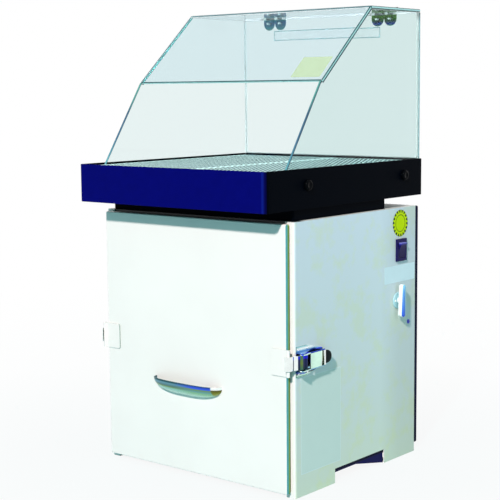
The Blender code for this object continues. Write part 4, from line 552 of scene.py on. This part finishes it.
CARRIED = {
    TOP_WHITE_PAINTED_SHADE: ["top_plate"],
    SIDE_WHITE_PAINTED_SHADE: ["side_panel_right", "side_panel_left"],
    INNER_WHITE: ["partition", "dust_pan"],
    BLACK: ["tray_rail_rear", "tray_floor"],
    # The base pan takes the blue-black as painted shade; the rear cover and louvre are blue-black
    DARK: ["rear_cover", "exhaust_louvre", "base_pan"],
    STEEL: ["fan_shelf", "inlet_ring", "filter_frame", "motor_stand", "motor_shaft", "impeller", "knocker_arm",
            "ledge_front", "ledge_rear", "split_bar"],
    FILTER_CLOTH: ["filter_pleats"],
    MOTOR_GREY: ["motor"],
    SEAL: ["door_gasket"],
}


def dress_carried_nodes():
    """Gives the carried nodes their finishes.

    The side panels' front flanges and top edges take the door's white and the rest the side's painted shade:
    lit and shaded copies of one white, by which way each face looks.
    """
    for finish, nodes in CARRIED.items():
        for node in nodes:
            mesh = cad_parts[node].data
            mesh.materials.clear()
            mesh.materials.append(finish)
            mesh.set_sharp_from_angle(angle=SMOOTH_ANGLE)
            # Faces that look forward or up take the door's white as painted light
            if finish is SIDE_WHITE_PAINTED_SHADE:
                mesh.materials.append(WHITE)
                for polygon in mesh.polygons:
                    polygon.material_index = int(polygon.normal.y < -0.7 or polygon.normal.z > 0.7)


# Clear hood
HOOD_EDGE = 0.0016
HOOD_SHEET = 0.006
SHIELD_FACING = (0, -0.664, 0.748)
SHIELD_FOOT = (0, -0.748, -0.664)
SHIELD_HEAD = (0, 0.748, 0.664)
SIDE_FRONT = (0, -0.828, 0.560)
RIGHT_END = (1, 0, 0)
LEFT_END = (-1, 0, 0)


def looks_towards(face, ways):
    return any(face.normal.dot(Vector(way)) > 0.6 for way in ways)


def clear_sheet(node, body, facing, tinted=(), finishes=(EDGE_CORE, EDGE_RIM), sheet=CLEAR, lined=()):
    """A hood sheet with clear faces and pale edges.

    An edge that looks one of the lined ways shows as a thin line, and one that looks one of the tinted ways
    as a core between two rims.
    """
    shape = soften(copy_of(node), HOOD_EDGE, 1)
    across = Vector(facing).normalized()

    def part_of_sheet(face):
        lean = abs(face.normal.dot(across))
        if lean >= 0.95:
            return 0
        if looks_towards(face, tinted):
            return 1 if lean < 0.2 else 2
        return 4 if looks_towards(face, lined) else 3

    sort_faces(shape, part_of_sheet)
    finish_piece(shape, f"{node}_sheet", body, [sheet, *finishes, EDGE_PALE, EDGE_LINE],
                 [node], FLAT_ANGLE)


def build_hood():
    """The fixed sheets and the hinged lid, whose front and right edges carry painted light in the tint of the
    sheet.
    """
    deep = (EDGE_DEEP_CORE, EDGE_DEEP_RIM)
    clear_sheet("hood_side_right", "cabinet", (1, 0, 0), [SIDE_FRONT], deep, lined=[(0, 1, 0)])
    clear_sheet("hood_side_left", "cabinet", (1, 0, 0), [SIDE_FRONT], deep)
    clear_sheet("hood_rear", "cabinet", (0, 1, 0))
    clear_sheet("lid_top", "lid", (0, 0, 1), [RIGHT_END], sheet=CLEAR_LID, lined=[(0, -1, 0), LEFT_END])
    clear_sheet("lid_shield", "lid", SHIELD_FACING, [RIGHT_END, SHIELD_FOOT], sheet=CLEAR_LID,
                lined=[SHIELD_HEAD, LEFT_END])


# Work tray
PERFORATION_PITCH = 0.0104
PERFORATION_RADIUS = 0.0042
PERFORATION_MARGIN = 0.0075
PERFORATION_SIDES = 8


def perforated_panel(side):
    """A lift-out plate punched with staggered rows of small holes."""
    node = f"perforated_panel_{side}"
    low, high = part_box(node)
    shape = new_shape()
    ring = [shape.verts.new((x, y, low.z)) for x, y in
            ((low.x, low.y), (high.x, low.y), (high.x, high.y), (low.x, high.y))]
    for a, b in zip(ring, ring[1:] + ring[:1]):
        shape.edges.new((a, b))
    row_pitch = PERFORATION_PITCH * math.sqrt(3) / 2
    columns = int((high.x - low.x - 2 * PERFORATION_MARGIN) / PERFORATION_PITCH)
    rows = int((high.y - low.y - 2 * PERFORATION_MARGIN) / row_pitch) + 1
    first = Vector(((low.x + high.x - PERFORATION_PITCH * (columns - 0.5)) / 2,
                    (low.y + high.y - row_pitch * (rows - 1)) / 2, low.z))
    for row in range(rows):
        for column in range(columns):
            at = first + Vector((PERFORATION_PITCH * (column + 0.5 * (row % 2)), row_pitch * row, 0))
            bmesh.ops.create_circle(shape, segments=PERFORATION_SIDES, radius=PERFORATION_RADIUS,
                                    matrix=Matrix.Translation(at))
    bmesh.ops.triangle_fill(shape, use_beauty=True, use_dissolve=False, edges=shape.edges[:], normal=(0, 0, 1))
    thicken(shape, (0, 0, high.z - low.z))
    sort_faces(shape, lambda face: int(abs(face.normal.z) < 0.5))
    finish_piece(shape, f"{node}_punched", f"panel_{side}", [PERFORATED, PUNCHED], [node])


def sheet_copy(node, body, finishes, width=CUT_EDGE, segments=2, sort=None):
    """A CAD sheet with its cut edges broken; sort gives the number of a face's finish."""
    shape = soften(copy_of(node), width, segments)
    if sort:
        sort_faces(shape, sort)
    finish_piece(shape, f"{node}_finished", body, finishes, [node], flats=True)


def build_tray():
    """The navy fascia, the black rails, the two perforated panels, the duct below and the hood's knobs."""
    sheet_copy("tray_fascia", "cabinet", [NAVY_PAINTED_CORNER, BLACK],
               sort=lambda face: int(abs(face.normal.x) > 0.8))
    for side, _ in SIDES:
        sheet_copy(f"tray_rail_{side}", "cabinet", BLACK, MOULDED_EDGE)
        perforated_panel(side)
    sheet_copy("neck_duct", "cabinet", BLACK)
    build_knobs()


KNOB_HEIGHT = 0.007
KNOB_NECK = 0.004
KNOB_NECK_EDGE = 0.0004
# Radius and height of each turn: the crown's from its foot, the dish's from the knob's end
KNOB_CROWN = ((0.0092, 0), (0.0106, 0.0006), (0.011, 0.0018), (0.011, 0.0040), (0.0104, 0.0055),
              (0.0090, 0.0066))
KNOB_DISH = ((0.0072, 0), (0.0060, 0), (0.0052, -0.0005), (0, -0.0008))


def build_knobs():
    """Black clamping knobs with a short neck and a dished crown."""
    for place in ("front", "rear"):
        for side, sign in SIDES:
            node = f"hood_knob_{place}_{side}"
            low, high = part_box(node)
            middle = (low + high) / 2
            reach = high.x - low.x
            foot = reach - KNOB_HEIGHT
            profile = [(0, 0), (KNOB_NECK - KNOB_NECK_EDGE, 0), (KNOB_NECK, KNOB_NECK_EDGE), (KNOB_NECK, foot)]
            profile += [(radius, foot + height) for radius, height in KNOB_CROWN]
            profile += [(radius, reach + height) for radius, height in KNOB_DISH]
            shape = turned(profile, (low.x if sign > 0 else high.x, middle.y, middle.z), (sign, 0, 0))
            finish_piece(shape, f"{node}_turned", "cabinet", BLACK_PLASTIC, [node])


# Lid hinges
HINGE_LOBE = 0.0155
HINGE_LEAF = 0.0018
HINGE_SEAT = 0.0003
# Radius and height of the domed bolt heads on a leaf, and of the nuts on the sheet's other side
FIXED_BOLT, FIXED_NUT = (0.0032, 0.0024), (0.0028, 0.0026)
MOVING_BOLT, MOVING_NUT = (0.0048, 0.0024), (0.0042, 0.0030)


def build_hinges():
    """Butt hinges whose fixed leaves, on the sheet's far side, carry painted reflections and shade in bands;
    each leaf has two domed bolts.
    """
    for side, _ in SIDES:
        sheet_copy(f"hinge_fixed_leaf_{side}", "cabinet", HINGE_LEAF_PAINTED_REFLECTIONS[side], FINE_EDGE)
        sheet_copy(f"hinge_moving_leaf_{side}", "lid", CHROME_BRIGHT, FINE_EDGE)
        sheet_copy(f"hinge_pin_{side}", "cabinet", DARK, FINE_EDGE)
        low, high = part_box(f"hinge_fixed_leaf_{side}")
        lobes = [(low.x + high.x) / 2 + way * ((high.x - low.x) / 2 - HINGE_LOBE) for way in (-1, 1)]
        front, level = low.y - HINGE_SEAT - HOOD_SHEET, low.z + HINGE_LOBE
        heads = [dome((x, low.y + HINGE_LEAF, level), (0, 1, 0), *FIXED_BOLT) for x in lobes]
        heads += [dome((x, front, level), (0, -1, 0), *FIXED_NUT) for x in lobes]
        finish_piece(joined(heads), f"hinge_fixed_bolts_{side}", "cabinet", CHROME_BRIGHT)
        low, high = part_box(f"hinge_moving_leaf_{side}")
        row, below = low.y + HINGE_LOBE, low.z - HINGE_SEAT - HOOD_SHEET
        heads = [dome((x, row, low.z + HINGE_LEAF), (0, 0, 1), *MOVING_BOLT) for x in lobes]
        heads += [dome((x, row, below), (0, 0, -1), *MOVING_NUT) for x in lobes]
        finish_piece(joined(heads), f"hinge_moving_bolts_{side}", "lid", CHROME_BRIGHT)


# Door
DOOR_RETURN = 0.002


def build_door():
    """The folded door, whose side returns carry painted shade, teal by the door's face and olive by the seal.
    """
    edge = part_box("door_panel")[1].x - DOOR_RETURN

    def in_shade(face):
        return int(abs(face.normal.x) > 0.7 and abs(face.calc_center_median().x) > edge)

    sheet_copy("door_panel", "door", [WHITE, RETURN_PAINTED_SHADE], PRESSED_EDGE, sort=in_shade)
    build_handle()
    for side, _ in SIDES:
        keeper(side)


KEEPER_CORNER = 0.004
# A keeper's cut edges carry painted shade up to this far from the door's middle
KEEPER_SHADE = 0.2455


def keeper(side):
    """The keeper with round corners, and painted shade on its cut edges on the door's face."""
    node = f"keeper_{side}"
    shape = copy_of(node)
    inner = min(abs(v.co.x) for v in shape.verts)
    corners = [edge for edge in edges_along(shape, (0, 1, 0))
               if all(abs(abs(v.co.x) - inner) < 0.0001 for v in edge.verts)]
    soften(shape, KEEPER_CORNER, 4, corners)
    soften(shape, PRESSED_EDGE)
    sort_faces(shape, lambda face: int(abs(face.normal.y) < 0.5 and
                                       abs(face.calc_center_median().x) < KEEPER_SHADE))
    finish_piece(shape, f"{node}_finished", "door", [WHITE, KEEPER_EDGE_PAINTED_SHADE], [node], flats=True)


HANDLE_WALL = 0.0022
HANDLE_STEPS = 40
HANDLE_TURN_STEPS = 16
HANDLE_BLUNTNESS = 0.72
HANDLE_CREASE = math.radians(50)


def build_handle():
    """A boat-shaped pull pressed from bright plate, open at its top."""
    low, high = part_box("door_handle")
    half_wide = (high.x - low.x) / 2
    reach = high.y - low.y
    shape = new_shape()
    loop = []
    for wall, order in ((0, 1), (HANDLE_WALL, -1)):
        arch = []
        for k in range(HANDLE_STEPS + 1):
            angle = math.pi * k / HANDLE_STEPS
            x = (half_wide - wall) * math.copysign(abs(math.cos(angle)) ** HANDLE_BLUNTNESS, math.cos(angle))
            arch.append((x, (reach - wall) * abs(math.sin(angle)) ** HANDLE_BLUNTNESS))
        loop += arch[::order]
    verts = [shape.verts.new((x, -y, 0)) for x, y in loop]
    edges = [shape.edges.new((a, b)) for a, b in zip(verts, verts[1:] + verts[:1])]
    face = bmesh.ops.edgeloop_fill(shape, edges=edges)["faces"]
    bmesh.ops.spin(shape, geom=face, axis=(1, 0, 0), cent=(0, 0, 0), angle=math.pi / 2, steps=HANDLE_TURN_STEPS)
    bmesh.ops.remove_doubles(shape, verts=shape.verts[:], dist=MERGE)
    bmesh.ops.scale(shape, vec=(1, 1, (high.z - low.z) / reach), verts=shape.verts[:])
    bmesh.ops.recalc_face_normals(shape, faces=shape.faces[:])
    soften(shape, PRESSED_EDGE, 2, creases(shape, HANDLE_CREASE))
    move(shape, ((low.x + high.x) / 2, high.y, high.z))
    finish_piece(shape, "door_handle_shell", "door", pull_painted_reflections("pull_painted_reflections", low, high),
                 ["door_handle"], HANDLE_CREASE)


# Draw latches
LEVER_CHAMFER = 0.0034
LEVER_FACE = 0.2685
LEVER_STEP_DEPTH = 0.0007
LEVER_STEP_EDGE = 0.0002
# From the lever's rear end: where its plate ends, and where the joggle begins and ends
PLATE_END, JOGGLE_START, JOGGLE_END = -0.0134, -0.0118, -0.0069


def latch_lever(side, sign):
    """The lever with broad chamfers along its plate and a joggle before the grip, whose faces take chrome with
    painted reflections and glints.
    """
    node = f"latch_lever_{side}"
    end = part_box(node)[1].y
    shape = copy_of(node)
    soften(shape, LEVER_CHAMFER, 1, [edge for edge in edges_along(shape, (0, 1, 0))
                                     if all(abs(abs(v.co.x) - LEVER_FACE) < 0.0002 for v in edge.verts)])
    cut_across(shape, 1, [end + step for step in (PLATE_END, JOGGLE_START, JOGGLE_END)])
    bright, plate, painted_glints, joggle = range(4)

    def part_of_lever(face):
        outward = face.normal.x * sign
        place = face.calc_center_median()
        after = place.y - end
        if outward > 0.95 and abs(place.x) > LEVER_FACE - 0.0005:
            return plate if after < PLATE_END else joggle if JOGGLE_START < after < JOGGLE_END else bright
        return painted_glints if outward > 0.3 or outward < -0.5 or abs(face.normal.z) > 0.7 else bright

    sort_faces(shape, part_of_lever)
    bmesh.ops.inset_region(shape, faces=[face for face in shape.faces if face.material_index == joggle],
                           thickness=LEVER_STEP_EDGE, depth=-LEVER_STEP_DEPTH, use_even_offset=True)
    soften(shape, FINE_EDGE, 1)
    finish_piece(shape, f"{node}_finished", f"lever_{side}",
                 [CHROME_BRIGHT, PLATE_PAINTED_REFLECTION, CHROME_PAINTED_GLINTS, CHROME_PAINTED_SEAL_REFLECTION], [node], flats=True)


# Where each zone of the hook's painted reflections and shade ends, from its rear end, and the number of the
# zone's finish
HOOK_ZONES = ((-0.0350, 0), (-0.0330, 1), (-0.0236, 0), (-0.0200, 1), (-0.0140, 2), (0.0100, 1))


def latch_hook(side):
    """The hook, whose bends carry painted reflections of the seal, the cabinet's side and the light by turns.
    """
    node = f"latch_hook_{side}"
    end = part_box(node)[1].y
    shape = soften(copy_of(node), FINE_EDGE)
    cut_across(shape, 1, [end + place for place, _ in HOOK_ZONES[:-1]])

    def zone(face):
        after = face.calc_center_median().y - end
        return 0 if abs(face.normal.z) >= 0.7 else next(index for place, index in HOOK_ZONES if after < place)

    sort_faces(shape, zone)
    finish_piece(shape, f"{node}_finished", f"hook_{side}",
                 [CHROME_BRIGHT, CHROME_DEEP, CHROME_PAINTED_SEAL_REFLECTION], [node], flats=True)


LEVER_GRIP_EDGE = 0.0032
BASE_PLATE = 0.0023
RIVET_RADIUS = 0.0026
RIVET_HEIGHT = 0.0014
RIVET_STEPS = 14
# Distances of a pair of rivets from the base's front or rear edge and from its middle
FRONT_RIVETS = ((0.008, 0.0235), (0.036, 0.0235))
REAR_RIVETS = (0.010, 0.008)


def build_latches():
    """A riveted base, a lever with a rubber grip, and a hook on each side."""
    for side, sign in SIDES:
        sheet_copy(f"latch_base_{side}", "cabinet", CHROME_PAINTED_GLINTS, PRESSED_EDGE)
        latch_lever(side, sign)
        latch_hook(side)
        grip = f"lever_grip_{side}"
        shape = soften(copy_of(grip), LEVER_GRIP_EDGE, 5)
        finish_piece(shape, f"{grip}_moulded", f"lever_{side}", RUBBER, [grip])
        low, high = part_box(f"latch_base_{side}")
        face = cad_face(side) + sign * BASE_PLATE
        middle = (low.z + high.z) / 2
        pairs = [(low.y + along, off) for along, off in FRONT_RIVETS]
        pairs.append((high.y - REAR_RIVETS[0], REAR_RIVETS[1]))
        rivets = [dome((face, y, middle + way * off), (sign, 0, 0), RIVET_RADIUS, RIVET_HEIGHT, RIVET_STEPS)
                  for y, off in pairs for way in (-1, 1)]
        finish_piece(joined(rivets), f"latch_rivets_{side}", "cabinet", CHROME)


# Foot
# Outline, as Y and Z, of the painted shade seen through each foot notch
NOTCH_SHADE_OUTLINE = ((-0.0590, 0.0298), (-0.0590, 0.0205), (0.0180, 0.0205), (0.1180, 0.0006), (0.1180, 0.0298))
SHADE_SHEET_INSET = 0.0035
SHADE_SHEET_THICK = 0.001
SHADE_SHEET_EDGE = 0.0002


def build_notch_shade():
    """Dark sheets inside the foot notches, where there is only the shade under the pan: painted shade."""
    for side, sign in SIDES:
        inner = cad_face(side) - sign * SHADE_SHEET_INSET
        shape = slab([(inner, y, z) for y, z in NOTCH_SHADE_OUTLINE], (-sign * SHADE_SHEET_THICK, 0, 0))
        soften(shape, SHADE_SHEET_EDGE, 1)
        finish_piece(shape, f"notch_painted_shade_{side}", "cabinet", NOTCH_PAINTED_SHADE)


# Switch and filter shaker
SHAKER_BORE = 0.0054
SHAKER_STEPS = 56
SHAKER_SCREWS = 0.0125
SCREW_RADIUS = 0.0024
SCREW_HEIGHT = 0.0012
SCREW_STEPS = 16
SHAKER_GRIP_RISE = 0.006
SHAKER_GRIP_SPLIT = 0.001


def build_controls():
    """The rocker switch and the filter shaker on the right side."""
    sheet_copy("switch_body", "cabinet", NAVY_PLASTIC, MOULDED_EDGE, 3)
    sheet_copy("switch_rocker", "rocker", ROCKER_PAINTED_HIGHLIGHT, MOULDED_EDGE, 3)
    build_shaker()


def build_shaker():
    """A round plate with two screws, and a moulded grip whose outer faces carry painted shade, blue on the
    front half and teal on the rear half.
    """
    low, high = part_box("shaker_plate")
    middle = (low + high) / 2
    thick = high.x - low.x
    rim = (high.z - low.z) / 2
    profile = [(SHAKER_BORE, 0), (rim, 0), (rim, thick * 0.6), (rim - 0.0006, thick * 0.9),
               (rim - 0.0012, thick), (SHAKER_BORE, thick)]
    shape = turned(profile, (low.x, middle.y, middle.z), (1, 0, 0), SHAKER_STEPS)
    finish_piece(shape, "shaker_plate_turned", "cabinet", PLATE_TEAL, ["shaker_plate"])
    screws = [dome((high.x + LABEL_LIFT, middle.y + way * SHAKER_SCREWS, middle.z), (1, 0, 0), SCREW_RADIUS,
                   SCREW_HEIGHT, SCREW_STEPS) for way in (-1, 1)]
    finish_piece(joined(screws), "shaker_plate_screws", "cabinet", WHITE_PLASTIC)
    shape = soften(copy_of("shaker_handle"), MOULDED_EDGE)
    split = middle.y + SHAKER_GRIP_SPLIT
    cut_across(shape, 1, [split])

    def part_of_grip(face):
        place = face.calc_center_median()
        outer = face.normal.x > 0.35 and place.x > high.x + SHAKER_GRIP_RISE
        return 0 if not outer else 1 if place.y < split else 2

    sort_faces(shape, part_of_grip)
    finish_piece(shape, "shaker_handle_moulded", "shaker",
                 [WHITE_PLASTIC, BLUE_SHADE_PLASTIC, PLATE_TEAL], ["shaker_handle"])


# Stickers and label places, all bare
LABEL_THICK = 0.00015
FILM_THICK = 0.00025
LABEL_LIFT = 0.00005
LABEL_CORNER = 0.002
STICKER_RADIUS = 0.0285
STICKER_MARKS = 18
# Widths of the rim, the ring of marks, the bare ring and the thin ring
STICKER_RINGS = (0.0005, 0.0052, 0.0042, 0.0015)
# Places on the right side as Y and Z
STICKER_PLACE = (0.1771, 0.509)
PLUG_PLACE = (0.2105, 0.293)
PLUG_RADIUS = 0.005
PLUG_HEIGHT = 0.0018
BLUE_LABEL = ((0.1181, 0.384), (0.2331, 0.420))
SIDE_LABEL = ((-0.1724, 0.044), (-0.0404, 0.238))
SIDE_LABEL_BORDER = 0.0012
# Places across the hood's rear as X and Z, and on the shield as X and the way up from its foot
HOOD_LABEL = ((-0.148, 0.903), (0.144, 0.925))
HOOD_LABEL_BORDER = 0.0013
SHIELD_LABEL = ((0.163, 0.009), (0.235, 0.069))


def plaque(name, low, high, axis, sign, finish, border=None):
    """A thin label with round corners, and a border of another finish where it has one."""
    shape = box(low, high)
    direction = Vector((0, 0, 0))
    direction[axis] = 1
    soften(shape, LABEL_CORNER, 4, edges_along(shape, direction))
    finishes = [finish]
    if border:
        width, border_finish = border
        outer = max(shape.faces, key=lambda face: face.calc_center_median()[axis] * sign)
        ring = bmesh.ops.inset_region(shape, faces=[outer], thickness=width, use_even_offset=True)
        for face in ring["faces"]:
            face.material_index = 1
        finishes.append(border_finish)
    finish_piece(shape, name, "cabinet", finishes)


def round_sticker(face):
    """A round sticker with a ring of small marks and a thin ring inside it."""
    shape = new_shape()
    bmesh.ops.create_circle(shape, cap_ends=True, segments=STICKER_MARKS * 4, radius=STICKER_RADIUS)
    thicken(shape, (0, 0, LABEL_THICK))
    sort_faces(shape, lambda item: 1)
    top = max(shape.faces, key=lambda item: item.calc_center_median().z)
    top.material_index = 0
    for number, width in enumerate(STICKER_RINGS):
        ring = bmesh.ops.inset_region(shape, faces=[top], thickness=width, use_even_offset=True)["faces"]
        for item in ring:
            place = item.calc_center_median()
            step = int((math.atan2(place.y, place.x) / math.tau + 0.5) * STICKER_MARKS * 4) % 4
            item.material_index = (1, int(step in (0, 1)), 0, 2)[number]
    turn(shape, math.pi / 2, "Y")
    move(shape, (face, *STICKER_PLACE))
    finish_piece(shape, "sticker_round", "cabinet", [STICKER_GREEN, STICKER_RIM, STICKER_RING])


def shield_label():
    """A see-through label near the right foot of the shield, which rises with the lid."""
    normal = Vector(SHIELD_FACING).normalized()
    up = Vector((0, normal.z, -normal.y))
    points = [v.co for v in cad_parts["lid_shield"].data.vertices]
    foot = min(p.dot(up) for p in points)
    level = max(p.dot(normal) for p in points)
    first, last = SHIELD_LABEL
    shape = box((*first, LABEL_LIFT), (*last, LABEL_LIFT + LABEL_THICK))
    soften(shape, LABEL_CORNER, 4, edges_along(shape, (0, 0, 1)))
    turn(shape, math.atan2(up.z, up.y), "X")
    move(shape, up * foot + normal * level)
    finish_piece(shape, "label_shield_place", "lid", LABEL_YELLOW)


def build_stickers():
    """The round sticker, four bare label places and a plugged hole."""
    face = cad_face("right") + LABEL_LIFT
    round_sticker(face)
    first, last = BLUE_LABEL
    plaque("label_blue_place", (face, *first), (face + LABEL_THICK, *last), 0, 1, LABEL_BLUE)
    first, last = SIDE_LABEL
    plaque("label_side_place", (face, *first), (face + LABEL_THICK, *last), 0, 1, LABEL_SIDE,
           (SIDE_LABEL_BORDER, LABEL_SIDE_RIM))
    shield_label()
    plug = dome((face, *PLUG_PLACE), (1, 0, 0), PLUG_RADIUS, PLUG_HEIGHT)
    finish_piece(plug, "hole_plug", "cabinet", PLUG_BLUE)
    (left, bottom), (right, top) = HOOD_LABEL
    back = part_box("hood_rear")[0].y - LABEL_LIFT
    plaque("label_hood_place", (left, back - FILM_THICK, bottom), (right, back, top), 1, -1, LABEL_FILM,
           (HOOD_LABEL_BORDER, LABEL_TEAL))


# Room
DAYLIGHT = (0.30, 0.96, 0.98, 1.0)
DAYLIGHT_STRENGTH = 0.22
# Name, place, aim, size, power and colour of each lamp
LAMPS = (
    ("key", (3.02, -7.02, 5.21), (0, 0, 0.45), 0.44, 880, (1.0, 0.90, 0.875)),
    ("fill", (3.2, 1.0, 1.6), (0, 0, 0.4), 1.8, 17, (0.96, 0.97, 1.0)),
    ("fill_left", (-3.2, 1.0, 1.6), (0, 0, 0.4), 1.8, 36, (1.0, 0.92, 0.90)),
    ("fill_rear", (0.5, 3.4, 1.3), (0, 0, 0.5), 1.8, 10, (1.0, 0.97, 0.96)),
)


def build_room():
    """A plain white surround for the eye, a low soft daylight for the object, and the lamps."""
    scene = bpy.context.scene
    scene.view_settings.view_transform = "Standard"
    world = bpy.data.worlds.new("studio")
    scene.world = world
    world.use_nodes = True
    tree = world.node_tree
    daylight = tree.nodes["Background"]
    daylight.inputs["Color"].default_value = DAYLIGHT
    daylight.inputs["Strength"].default_value = DAYLIGHT_STRENGTH
    plain = tree.nodes.new("ShaderNodeBackground")
    plain.inputs["Color"].default_value = (1, 1, 1, 1)
    plain.inputs["Strength"].default_value = 1.0
    mix = tree.nodes.new("ShaderNodeMixShader")
    tree.links.new(seen_by_eye(tree), mix.inputs["Fac"])
    tree.links.new(daylight.outputs["Background"], mix.inputs[1])
    tree.links.new(plain.outputs["Background"], mix.inputs[2])
    tree.links.new(mix.outputs["Shader"], tree.nodes["World Output"].inputs["Surface"])
    build_floor()
    for row in LAMPS:
        lamp(*row)


def seen_by_eye(tree):
    """One for rays from the camera, mirrors and clear sheets, and nought for the light that falls on things."""
    path = tree.nodes.new("ShaderNodeLightPath")
    total = path.outputs["Is Camera Ray"]
    for name in ("Is Glossy Ray", "Is Transmission Ray"):
        add = tree.nodes.new("ShaderNodeMath")
        add.operation = "ADD"
        add.use_clamp = True
        tree.links.new(total, add.inputs[0])
        tree.links.new(path.outputs[name], add.inputs[1])
        total = add.outputs["Value"]
    return total


FLOOR_RADIUS = 30.0
FLOOR_DROP = 0.0002
FLOOR_REACH = 2.4
FLOOR_FADE = ((0.0, 0.90), (0.20, 0.93), (0.45, 0.98), (1.0, 1.0))


def build_floor():
    """A pale floor that keeps the object's shadow near it and fades to white for the eye further out."""
    shape = new_shape()
    bmesh.ops.create_circle(shape, cap_ends=True, segments=96, radius=FLOOR_RADIUS)
    mesh = bpy.data.meshes.new("floor")
    shape.to_mesh(mesh)
    shape.free()
    floor = bpy.data.objects.new("floor", mesh)
    bpy.context.scene.collection.objects.link(floor)
    floor.location.z = -FLOOR_DROP
    mixer = Mixer("pale_floor")
    mixer.colour(mixer.ramp(mixer.noise(2.0), [(0.3, (0.17, 0.47, 0.50)), (0.7, (0.19, 0.49, 0.52))]))
    mixer.level(roughness=0.9)
    glow = mixer.node("ShaderNodeEmission", Strength=1.0)
    length = mixer.node("ShaderNodeVectorMath", operation="LENGTH")
    mixer.link(mixer.place, length.inputs[0])
    reach = mixer.node("ShaderNodeMapRange")
    reach.inputs["From Max"].default_value = FLOOR_REACH
    mixer.link(length.outputs["Value"], reach.inputs["Value"])
    product = mixer.node("ShaderNodeMath", operation="MULTIPLY")
    mixer.link(mixer.ramp(reach.outputs["Result"], [(place, (level,) * 3) for place, level in FLOOR_FADE]),
               product.inputs[0])
    mixer.link(seen_by_eye(mixer.tree), product.inputs[1])
    mix = mixer.node("ShaderNodeMixShader")
    mixer.link(product.outputs["Value"], mix.inputs["Fac"])
    mixer.link(mixer.shader.outputs["BSDF"], mix.inputs[1])
    mixer.link(glow.outputs["Emission"], mix.inputs[2])
    mixer.link(mix.outputs["Shader"], mixer.output.inputs["Surface"])
    mesh.materials.append(mixer.material)


def lamp(name, place, aim, size, power, colour):
    """A round soft lamp at a place, turned to its aim."""
    light = bpy.data.lights.new(name, "AREA")
    light.shape = "DISK"
    light.size = size
    light.energy = power
    light.color = colour
    made = bpy.data.objects.new(name, light)
    bpy.context.scene.collection.objects.link(made)
    made.location = place
    made.rotation_euler = (Vector(aim) - Vector(place)).to_track_quat("-Z", "Y").to_euler()


# Metres, radians and millimetres
CAMERA_PLACE = (1.7201, -2.0922, 0.7927)
CAMERA_YAW = 0.6922
CAMERA_PITCH = 0.1253
CAMERA_ROLL = -0.0095
CAMERA_LENS = 91.69
CAMERA_SENSOR = 36


def build_camera():
    """The camera at the photograph's viewing angle."""
    yaw, pitch, roll = CAMERA_YAW, CAMERA_PITCH, CAMERA_ROLL
    forward = Vector((-math.sin(yaw) * math.cos(pitch), math.cos(yaw) * math.cos(pitch), -math.sin(pitch)))
    right = Vector((math.cos(yaw), math.sin(yaw), 0))
    up = right.cross(forward)
    across = right * math.cos(roll) + up * math.sin(roll)
    above = up * math.cos(roll) - right * math.sin(roll)
    data = bpy.data.cameras.new("photo_view")
    data.lens = CAMERA_LENS
    data.sensor_width = CAMERA_SENSOR
    made = bpy.data.objects.new("photo_view", data)
    bpy.context.scene.collection.objects.link(made)
    turned_to = Matrix((across, above, -forward)).transposed()
    made.matrix_world = Matrix.Translation(CAMERA_PLACE) @ turned_to.to_4x4()
    bpy.context.scene.camera = made


dress_carried_nodes()
build_hood()
build_tray()
build_hinges()
build_door()
build_latches()
build_notch_shade()
build_controls()
build_stickers()
build_room()
build_camera()
